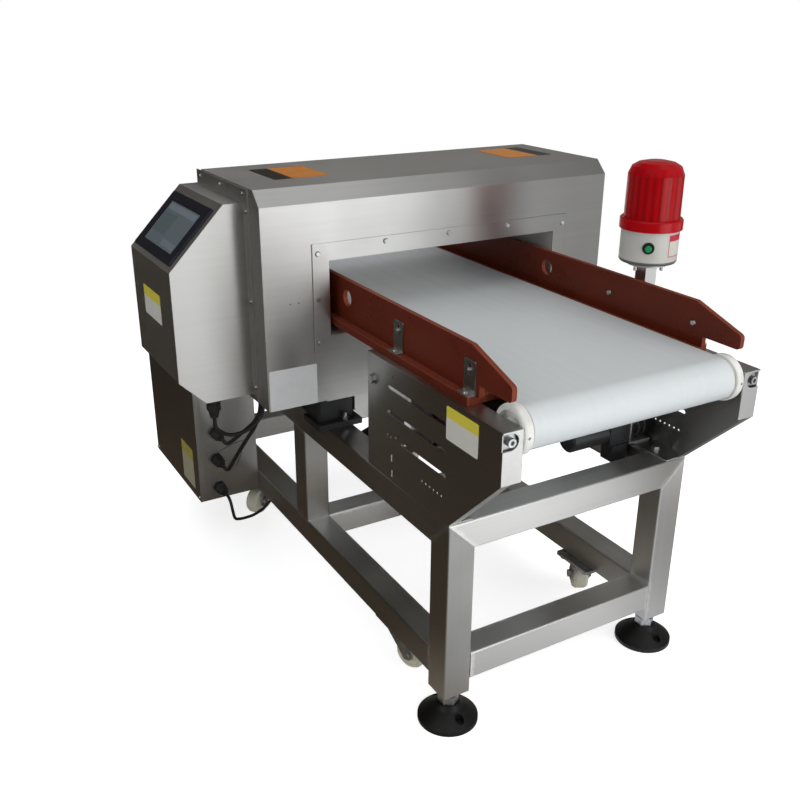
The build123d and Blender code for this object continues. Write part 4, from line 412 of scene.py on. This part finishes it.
def electronics_finish():
    """Circuit board, standoffs, parts and power supply in one node, told apart by where they are."""
    green = linear(24, 84, 50)
    made = Finish("electronics_finish", green, 0.4)
    x, y, z = made.axes()
    lines = made.rise(made.wave(made.plus(x, z), 900.0), 0.2, 0.5)
    tracks = made.times(lines, made.rise(made.spots(60.0), 0.3, 0.34))
    board = made.mix(tracks, green, linear(44, 118, 70))
    metal = made.mix(made.noise(30.0), linear(150, 152, 154), linear(176, 178, 180))
    made.put("Base Color", made.mix(made.fall(z, SUPPLY_TOP, SUPPLY_TOP + 0.002), board, metal))
    made.put("Roughness", made.span(made.noise(45.0, 4.0), 0.3, 0.55, 0.3, 0.7))
    made.relief(tracks, 0.00008, 0.0004)
    return made.material


# Beacon and display
def beacon_base_finish():
    """Grey-white housing, its black button collar, and the socket and lamp inside the lens."""
    white = linear(194, 192, 186)
    collar_radius = 0.010
    made = Finish("beacon_base_finish", white, 0.38)
    x, y, z = made.axes()
    away_x = made.minus(x, BEACON.x)
    away_y = made.minus(y, BEACON.y)
    beside_button = made.times(made.plus(away_x, away_y), math.sqrt(0.5))
    from_button = made.length(beside_button, made.minus(z, BUTTON_HEIGHT))
    collar = made.times(
        made.rise(made.length(away_x, away_y), BASE_RADIUS - 0.0004, BASE_RADIUS - 0.00025),
        made.fall(from_button, collar_radius, collar_radius + 0.0002),
        made.rise(made.minus(away_x, away_y), 0.0, 0.001),
    )
    cloud = made.noise(22.0, 4.0)
    tone = made.mix(made.rise(cloud, 0.3, 0.7), shade(white, 0.94), shade(white, 1.03))
    tone = made.mix(made.fall(z, BASE_FOOT + 0.0055, BASE_FOOT + 0.0058), tone, linear(92, 96, 92))
    tone = made.mix(collar, tone, linear(22, 24, 24))
    made.put("Base Color", tone)
    made.put("Roughness", made.span(cloud, 0.32, 0.46, 0.3, 0.7))
    made.relief(made.noise(900.0, 3.0), 0.00004, 0.0008)
    return made.material


def lens_finish():
    """Clear red moulding with upright flutes inside, seen through its gloss."""
    made = Finish("lens_finish", linear(196, 12, 22), 0.10)
    x, y, z = made.axes()
    angle = made.sums("ARCTAN2", made.minus(y, BEACON.y), made.minus(x, BEACON.x))
    flute = made.rise(made.wave(angle, FLUTES), -1.0, 1.0)
    upper = made.fall(z, LENS_TOP - 0.024, LENS_TOP - 0.010)
    lower = made.rise(z, LENS_FOOT + 0.018, LENS_FOOT + 0.021)
    height = made.times(flute, made.times(upper, lower))
    made.put("Base Color", made.mix(made.times(height, 0.55), linear(196, 14, 24), linear(138, 6, 12)))
    made.put("Roughness", made.span(made.noise(30.0, 5.0), 0.10, 0.22, 0.35, 0.75))
    made.put("Transmission Weight", 0.30)
    made.put("Specular IOR Level", 0.10)
    made.put("IOR", 1.46)
    made.relief(height, 0.00025)
    return made.material


def display_finish():
    """A switched-on display with blank fields, under slightly smeared glass."""
    made = Finish("display_finish", linear(70, 80, 88), 0.12)
    x, y, z = made.axes()
    across = made.minus(x, SCREEN.x)
    down = made.plus(made.times(made.minus(y, SCREEN.y), DOWN.y), made.times(made.minus(z, SCREEN.z), DOWN.z))

    def field(left, right, top, bottom):
        """1 inside the four sides, which end over a millimetre."""
        soft = 0.001
        wide = made.times(made.rise(across, left, left + soft), made.fall(across, right, right + soft))
        high = made.times(made.rise(down, top, top + soft), made.fall(down, bottom, bottom + soft))
        return made.times(wide, high)

    header = field(-0.070, 0.070, -0.0380, -0.0260)
    panel = field(-0.070, -0.004, -0.0210, 0.0200)
    keys = field(0.004, 0.070, 0.0240, 0.0360)
    tone = made.mix(field(-0.074, 0.074, -0.0405, 0.0405), linear(26, 28, 34), linear(104, 116, 122))
    tone = made.mix(made.times(header, 0.8), tone, linear(128, 138, 148))
    tone = made.mix(made.times(panel, 0.7), tone, linear(88, 104, 104))
    tone = made.mix(made.times(keys, 0.6), tone, linear(126, 136, 146))
    made.put("Base Color", tone)
    made.put("Roughness", made.span(made.noise(30.0, 5.0), 0.06, 0.22, 0.4, 0.8))
    made.put("Specular IOR Level", 0.4)
    made.put("Coat Weight", 0.4)
    made.put("Coat Roughness", 0.05)
    made.relief(made.noise(12.0, 2.0), 0.00008)
    return made.material


def paint(material, *names):
    for name in names:
        mesh = nodes[name].data
        mesh.materials.clear()
        mesh.materials.append(material)


CORNERS = [f"{end}_{side}" for end in ("outfeed", "infeed") for side in ("left", "right")]

paint(steel("tube_upright", "z", welds=joint_patches), "legs", "middle_posts")
paint(steel("tube_lengthwise", "x", welds=joint_patches), "side_rails")
paint(steel("tube_crosswise", "y", welds=joint_patches), "cross_rails")
paint(steel("sheet_lengthwise", "x", rough=0.31), "side_plates", "cabinet_shell", "cabinet_lid")
paint(steel("sheet_head", "y", rough=0.38, drawn=0.96), "head_shell", "tunnel_frames")
paint(steel("sheet_box", "y", rough=0.37, drawn=0.97), "control_box", "head_base")
paint(steel("sheet_small", "z", rough=0.38), "guide_brackets", "motor_bracket", "beacon_post")

plated = zinc("zinc_plate")
paint(plated, "caster_plates", *[f"caster_fork_{corner}" for corner in CORNERS])
paint(plated, *[f"foot_stud_{corner}" for corner in CORNERS])
paint(zinc("screw_zinc", linear(196, 198, 200), 0.25), "bolts", "dome_screws")
bright = turned("turned_steel")
paint(bright, "outfeed_shaft", "fixed_shafts", "drive_roller", "gearbox_pulley")
paint(bright, "outfeed_snub_roller", "infeed_snub_roller", "bearing_blocks")
paint(turned("reflector_mirror", linear(222, 222, 222), 0.12), "beacon_reflector")
paint(copper_winding(), "search_coils")

black = moulded("black_moulding", linear(34, 35, 36), 0.5, dirt=linear(66, 64, 58))
paint(black, "cable_glands", "isolating_mounts")
jacket = moulded("cable_jacket", linear(30, 30, 32), 0.42, 800.0, 0.00003, 1.4, linear(60, 58, 54))
paint(jacket, "cables")
pad = moulded("pad_moulding", linear(13, 14, 14), 0.42, 500.0, 0.00008, 2.2, linear(40, 40, 36), 0.35)
paint(pad, *[f"foot_pad_{corner}" for corner in CORNERS])
wheel = moulded("nylon_wheel", linear(232, 229, 208), 0.42, dirt=linear(176, 170, 142))
paint(wheel, *[f"caster_wheel_{corner}" for corner in CORNERS])
roller = moulded("nylon_roller", linear(236, 236, 231), 0.34, 600.0, 0.00003, 1.03, linear(196, 192, 178))
paint(roller, "outfeed_roller", "infeed_roller", "wear_sheet")
paint(moulded("drive_rubber", linear(28, 28, 29), 0.6, 400.0, 0.0001), "toothed_belt")
paint(moulded("bezel_moulding", linear(30, 33, 44), 0.3, 700.0, 0.00002), "screen_bezel")
paint(moulded("green_button", linear(20, 150, 84), 0.28, 700.0, 0.00002), "beacon_button")

paint(belt_cover(), "belt")
paint(phenolic_board(), "guides", "slider_bed")
paint(tunnel_laminate(), "tunnel_liner")
paint(motor_enamel(), "gearmotor")
paint(electronics_finish(), "electronics")
paint(display_finish(), "screen_glass")
paint(beacon_base_finish(), "beacon_base")
paint(lens_finish(), "beacon_lens")


def piece(name, mesh, finishes):
    """A new piece from a finished mesh, which moves with the machine."""
    data = bpy.data.meshes.new(name)
    mesh.to_mesh(data)
    mesh.free()
    for finish in finishes:
        data.materials.append(finish)
    made = bpy.data.objects.new(name, data)
    scene.collection.objects.link(made)
    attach(made, "machine")


# Blank labels
def label_finish(name, colour):
    made = Finish(name, colour, 0.42)
    cloud = made.noise(40.0, 4.0)
    made.put("Base Color", made.mix(made.span(cloud, 0.0, 0.5, 0.45, 0.8), colour, shade(colour, 0.86)))
    made.put("Roughness", made.span(cloud, 0.36, 0.5, 0.3, 0.7))
    made.relief(made.noise(90.0, 3.0), 0.00006)
    return made.material


PAPER = label_finish("label_white", linear(206, 204, 194))
YELLOW = label_finish("label_yellow", linear(214, 200, 62))
ORANGE = label_finish("label_orange", linear(204, 128, 44))
DARK = label_finish("label_dark", linear(52, 50, 44))
SILVER = label_finish("label_silver", linear(216, 218, 218))
RED = label_finish("label_red", linear(186, 26, 58))
# The cabinet label's paper and yellow are drawn darker than the other labels'.
DARKER_PAPER = label_finish("label_darker_paper", linear(158, 154, 128))
DARKER_YELLOW = label_finish("label_darker_yellow", linear(160, 150, 66))


def round_corners(width, height, radius):
    """Outline of a rectangle with round corners, as distances right and up from its centre."""
    steps = 4
    outline = []
    for right, up, first in ((1, 1, 0), (-1, 1, 90), (-1, -1, 180), (1, -1, 270)):
        for step in range(steps + 1):
            turn = math.radians(first + 90 * step / steps)
            across = right * (width / 2 - radius) + radius * math.cos(turn)
            outline.append((across, up * (height / 2 - radius) + radius * math.sin(turn)))
    return outline


def label(name, centre, right, up, width, height, bands, corner=0.003):
    """A blank label with round corners. Bands are (share of the height from the top, finish)."""
    thick, gap = 0.00025, 0.00002
    centre = Vector(centre)
    out = right.cross(up)
    outline = round_corners(width, height, corner)
    mesh = bmesh.new()
    top = [mesh.verts.new(centre + right * a + up * b + out * thick) for a, b in outline]
    low = [mesh.verts.new(centre + right * a + up * b + out * gap) for a, b in outline]
    mesh.faces.new(top)
    mesh.faces.new(list(reversed(low)))
    for k in range(len(top)):
        following = (k + 1) % len(top)
        mesh.faces.new((low[k], low[following], top[following], top[k]))
    cuts = []
    for share, _ in bands[:-1]:
        cuts.append((cuts[-1] if cuts else height / 2) - share * height)
        everything = mesh.verts[:] + mesh.edges[:] + mesh.faces[:]
        bmesh.ops.bisect_plane(mesh, geom=everything, plane_co=centre + up * cuts[-1], plane_no=up)
    for face in mesh.faces:
        rise = (face.calc_center_median() - centre).dot(up)
        face.material_index = sum(rise <= cut for cut in cuts)
    piece(name, mesh, [finish for _, finish in bands])


PLATE_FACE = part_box("side_plates")[0].y - 0.0002
HEAD_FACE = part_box("head_shell")[1].x + 0.0002
HEAD_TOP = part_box("head_shell")[1].z + 0.0002
BOX_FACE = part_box("control_box")[0].y - 0.0003
LID_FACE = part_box("cabinet_lid")[0].y - 0.0003

label("side_plate_label", (0.567, PLATE_FACE, 0.547), X, Z, 0.080, 0.052, [(0.34, YELLOW), (0.66, PAPER)])
label("head_label", (HEAD_FACE, -0.312, 0.480), Y, Z, 0.090, 0.074, [(1.0, SILVER)], 0.002)
label("head_top_label_near", (-0.010, -0.238, HEAD_TOP), -X, -Y, 0.118, 0.104, [(0.33, DARK), (0.67, ORANGE)])
label("head_top_label_far", (-0.025, 0.265, HEAD_TOP), -X, -Y, 0.114, 0.104, [(0.68, ORANGE), (0.32, DARK)])
label("box_label", (-0.031, BOX_FACE, 0.6115), X, Z, 0.096, 0.053, [(0.36, YELLOW), (0.64, PAPER)])
label("cabinet_label", (-0.309, LID_FACE, 0.153), X, Z, 0.078, 0.094, [(0.3, DARKER_YELLOW), (0.7, DARKER_PAPER)])


def beacon_label():
    """Blank label bent round the beacon's base, white with a red rim and a red head."""
    reach, steps = BASE_RADIUS + 0.00015, 10
    rim_turn, rim, head = 0.025, 0.0012, 0.0105
    first, last = math.radians(-3.0), math.radians(40.0)
    low, high = BASE_FOOT + 0.015, BASE_FOOT + 0.052
    turns = [first + (last - first) * k / steps for k in range(steps + 1)]
    turns = sorted(turns + [first + rim_turn, last - rim_turn])
    rises = [low, low + rim, high - head, high]
    mesh = bmesh.new()
    grid = []
    for rise in rises:
        out = [Vector((math.cos(turn), math.sin(turn), 0.0)) * reach for turn in turns]
        grid.append([mesh.verts.new((BEACON.x + way.x, BEACON.y + way.y, rise)) for way in out])
    for i in range(len(rises) - 1):
        for j in range(len(turns) - 1):
            face = mesh.faces.new((grid[i][j], grid[i][j + 1], grid[i + 1][j + 1], grid[i + 1][j]))
            face.smooth = True
            face.material_index = 0 if i == 1 and 0 < j < len(turns) - 2 else 1
    piece("beacon_label", mesh, [PAPER, RED])


beacon_label()


# Small trim: cable tie tails, and two blind rivets on the head
def strand(name, points, radius):
    """Thin round black strand through the points, with closed ends."""
    sides = 6
    points = [Vector(point) for point in points]
    mesh = bmesh.new()
    rings = []
    for k, point in enumerate(points):
        ahead = (points[min(k + 1, len(points) - 1)] - points[max(k - 1, 0)]).normalized()
        side = ahead.orthogonal().normalized()
        over = ahead.cross(side)
        turns = [math.radians(360 / sides * n) for n in range(sides)]
        spots = [point + (side * math.cos(turn) + over * math.sin(turn)) * radius for turn in turns]
        rings.append([mesh.verts.new(spot) for spot in spots])
    for one, two in zip(rings, rings[1:]):
        for n in range(sides):
            following = (n + 1) % sides
            mesh.faces.new((one[n], one[following], two[following], two[n])).smooth = True
    mesh.faces.new(list(reversed(rings[0])))
    mesh.faces.new(rings[-1])
    bmesh.ops.recalc_face_normals(mesh, faces=mesh.faces[:])
    piece(name, mesh, [black])


TIE = (-0.150, -0.302, 0.257)
TIE_TAIL_RADIUS = 0.0006
forward_tail = [TIE, (-0.158, -0.318, 0.251), (-0.168, -0.336, 0.240), (-0.172, -0.350, 0.233)]
strand("tie_tail_one", forward_tail, TIE_TAIL_RADIUS)
hanging_tail = [TIE, (-0.155, -0.303, 0.240), (-0.158, -0.309, 0.218), (-0.162, -0.318, 0.196)]
strand("tie_tail_two", hanging_tail, TIE_TAIL_RADIUS)

RIVET_HEIGHT, RIVET_RADIUS = 0.6307, 0.0014
for count, across in enumerate((-0.3124, -0.2968)):
    ends = [(0.1459, across, RIVET_HEIGHT), (0.1466, across, RIVET_HEIGHT)]
    strand(f"head_rivet_{count}", ends, RIVET_RADIUS)


# Floor, cards, lamps and sky
def floor_finish():
    """Pale floor that takes the object's shadow near it and fades to plain white further out.
    In reflections it is darker under and beside the object, and brightest out in front of it."""
    made = Finish("floor_finish", grey(0.8), 0.9)
    made.put("Specular IOR Level", 0.0)
    x, y, z = made.axes()
    away = made.length(x, y)
    far = made.rise(away, 0.9, 2.2)
    speck = made.mix(made.rise(made.noise(3.0, 3.0), 0.3, 0.7), grey(0.79), grey(0.81))
    path = made.node("LightPath")
    seen = made.most(path.outputs["Is Camera Ray"], path.outputs["Is Transmission Ray"])
    mirrored = path.outputs["Is Glossy Ray"]
    # Painted shadow and light for reflections only: the floor glows dimmer under and beside the object,
    # brightest out in front of it, and warmer where it is dim.
    slope = made.sums("DIVIDE", y, made.most(x, 0.1))
    level = made.times(
        made.span(away, 1.02, 2.25, 0.8, 2.9),
        made.span(slope, 1.0, 0.26, 0.56, 0.72),
        made.span(x, 0.10, 1.0, 0.20, 0.68),
        made.span(y, 0.30, 1.0, -0.40, 0.10),
        made.span(y, 0.05, 1.0, -0.60, -0.35),
        made.span(slope, 0.72, 1.15, 0.10, 0.32),
        made.most(made.span(y, 1.0, 0.5, 0.10, 0.36), made.rise(away, 0.85, 1.40)),
    )
    level = made.most(level, made.span(away, 0.06, 0.03, 0.6, 1.4))
    made.put("Base Color", made.mix(made.most(made.times(seen, far), mirrored), speck, BLACK))
    pale = made.most(seen, made.rise(level, 0.06, 0.5))
    tint = made.mix(pale, (1.0, 0.78, 0.56, 1.0), (0.98, 0.99, 1.0, 1.0))
    made.put("Emission Color", made.mix(seen, tint, WHITE))
    plain = made.times(seen, made.span(far, FLOOR_LIFT, 1.0, 0.0, 1.0))
    made.put("Emission Strength", made.plus(plain, made.times(mirrored, level)))
    return made.material


def glow_finish(name, strength):
    """Black card that glows white, as strongly as the function says for a place along Y."""
    made = Finish(name, BLACK, 0.9)
    made.put("Emission Color", WHITE)
    made.put("Emission Strength", strength(made, made.axes()[1]))
    return made.material


def dusk_finish():
    """Nearly black card with a warm gleam."""
    made = Finish("card_dark", grey(0.03), 0.9)
    made.put("Base Color", made.mix(made.rise(made.noise(2.0), 0.3, 0.7), grey(0.01), grey(0.015)))
    made.put("Emission Color", (1.0, 0.72, 0.48, 1.0))
    made.put("Emission Strength", 0.03)
    return made.material


def window_light(made, y):
    return made.times(made.span(y, 2.8, 0.3, 2.1, 3.1), made.span(y, 0.6, 1.0, 0.4, 1.3))


def overhead_light(made, y):
    return made.span(y, 0.65, 0.22, 0.9, 2.4)


def card(name, corners, finish):
    data = bpy.data.meshes.new(name)
    data.from_pydata([Vector(corner) for corner in corners], [], [(0, 1, 2, 3)])
    data.materials.append(finish)
    made = bpy.data.objects.new(name, data)
    scene.collection.objects.link(made)
    return made


def level_card(name, left, right, front, back, z, finish):
    return card(name, [(left, front, z), (right, front, z), (right, back, z), (left, back, z)], finish)


def upright_card(name, x, front, back, foot, top, finish):
    return card(name, [(x, front, foot), (x, back, foot), (x, back, top), (x, front, top)], finish)


def only_mirrored(made):
    """Leaves a card to reflections alone."""
    made.visible_camera = False
    made.visible_shadow = False
    made.visible_diffuse = False
    made.visible_transmission = False


FLOOR_LIFT = 0.70
FLOOR_HALF = 15
dusk = dusk_finish()
window = glow_finish("card_bright", window_light)
overhead = glow_finish("card_over_finish", overhead_light)
level_card("floor", -FLOOR_HALF, FLOOR_HALF, -FLOOR_HALF, FLOOR_HALF, -0.0008, floor_finish())
only_mirrored(upright_card("card_back", -2.4, -4.0, 1.03, 0.02, 9.0, dusk))
only_mirrored(level_card("card_ceiling", -2.4, -0.1, -4.0, 1.9, 3.3, dusk))
only_mirrored(upright_card("card_window", 4.2, -0.5, 4.6, 0.0, 2.8, window))
only_mirrored(level_card("card_over", 0.0, 3.0, -1.5, 3.0, 3.2, overhead))

# Each lamp's name, place, target, width, height, power, and whether steel mirrors it
LAMPS = [
    ("lamp_window", (3.4, 0.2, 0.9), (0.3, 0.0, 0.6), 2.4, 1.2, 24.0, False),
    ("lamp_side", (2.6, 2.0, 1.9), (0.2, 0.0, 0.5), 2.4, 2.0, 34.0, False),
    ("lamp_top", (0.3, -0.2, 3.2), (0.1, 0.0, 0.4), 4.0, 4.0, 27.0, False),
    ("lamp_back", (-3.0, 0.8, 1.3), (0.0, 0.0, 0.6), 2.0, 1.4, 40.0, False),
    ("lamp_front", (1.4, -2.6, 1.6), (0.1, 0.0, 0.5), 2.0, 1.6, 10.0, True),
]
for name, place, target, width, height, power, mirrored in LAMPS:
    data = bpy.data.lights.new(name, "AREA")
    data.shape = "RECTANGLE"
    data.size = width
    data.size_y = height
    data.energy = power
    lamp = bpy.data.objects.new(name, data)
    lamp.location = place
    lamp.rotation_euler = (Vector(target) - Vector(place)).to_track_quat("-Z", "Y").to_euler()
    lamp.visible_camera = False
    lamp.visible_glossy = mirrored
    scene.collection.objects.link(lamp)


def studio_sky():
    """White where the camera sees it, and dimmer as a light on the object."""
    world = bpy.data.worlds.new("studio")
    world.use_nodes = True
    tree = world.node_tree
    tree.nodes.clear()
    output = tree.nodes.new("ShaderNodeOutputWorld")
    path = tree.nodes.new("ShaderNodeLightPath")

    def sky(colour, strength):
        made = tree.nodes.new("ShaderNodeBackground")
        made.inputs["Color"].default_value = colour
        made.inputs["Strength"].default_value = strength
        return made.outputs[0]

    lit = sky((0.96, 0.98, 1.0, 1.0), 0.38)
    for ray, colour, strength in (
        ("Is Glossy Ray", (1.0, 0.97, 0.92, 1.0), 0.22),
        ("Is Transmission Ray", WHITE, 0.6),
        ("Is Camera Ray", WHITE, 1.0),
    ):
        choice = tree.nodes.new("ShaderNodeMixShader")
        tree.links.new(path.outputs[ray], choice.inputs["Fac"])
        tree.links.new(lit, choice.inputs[1])
        tree.links.new(sky(colour, strength), choice.inputs[2])
        lit = choice.outputs[0]
    tree.links.new(lit, output.inputs["Surface"])
    return world


scene.world = studio_sky()
scene.view_settings.view_transform = "Standard"


def camera_at(place, yaw, pitch, roll, focal_length):
    """Camera that looks along yaw and pitch, in degrees, and leans by roll."""
    yaw, pitch, roll = math.radians(yaw), math.radians(pitch), math.radians(roll)
    forward = Vector((math.cos(pitch) * math.cos(yaw), math.cos(pitch) * math.sin(yaw), math.sin(pitch)))
    level_right = forward.cross(Z).normalized()
    level_up = level_right.cross(forward)
    right = level_right * math.cos(roll) + level_up * math.sin(roll)
    up = level_up * math.cos(roll) - level_right * math.sin(roll)
    lens = bpy.data.cameras.new("camera")
    lens.sensor_width = 36.0
    lens.lens = focal_length
    lens.clip_start = 0.05
    lens.clip_end = 80.0
    made = bpy.data.objects.new("camera", lens)
    made.matrix_world = Matrix(
        (
            (right.x, up.x, -forward.x, place[0]),
            (right.y, up.y, -forward.y, place[1]),
            (right.z, up.z, -forward.z, place[2]),
            (0.0, 0.0, 0.0, 1.0),
        )
    )
    scene.collection.objects.link(made)
    return made


# The photograph's angle
scene.camera = camera_at((1.5575, -0.9194, 1.0934), 149.799, -22.619, 0.313, 42.493)
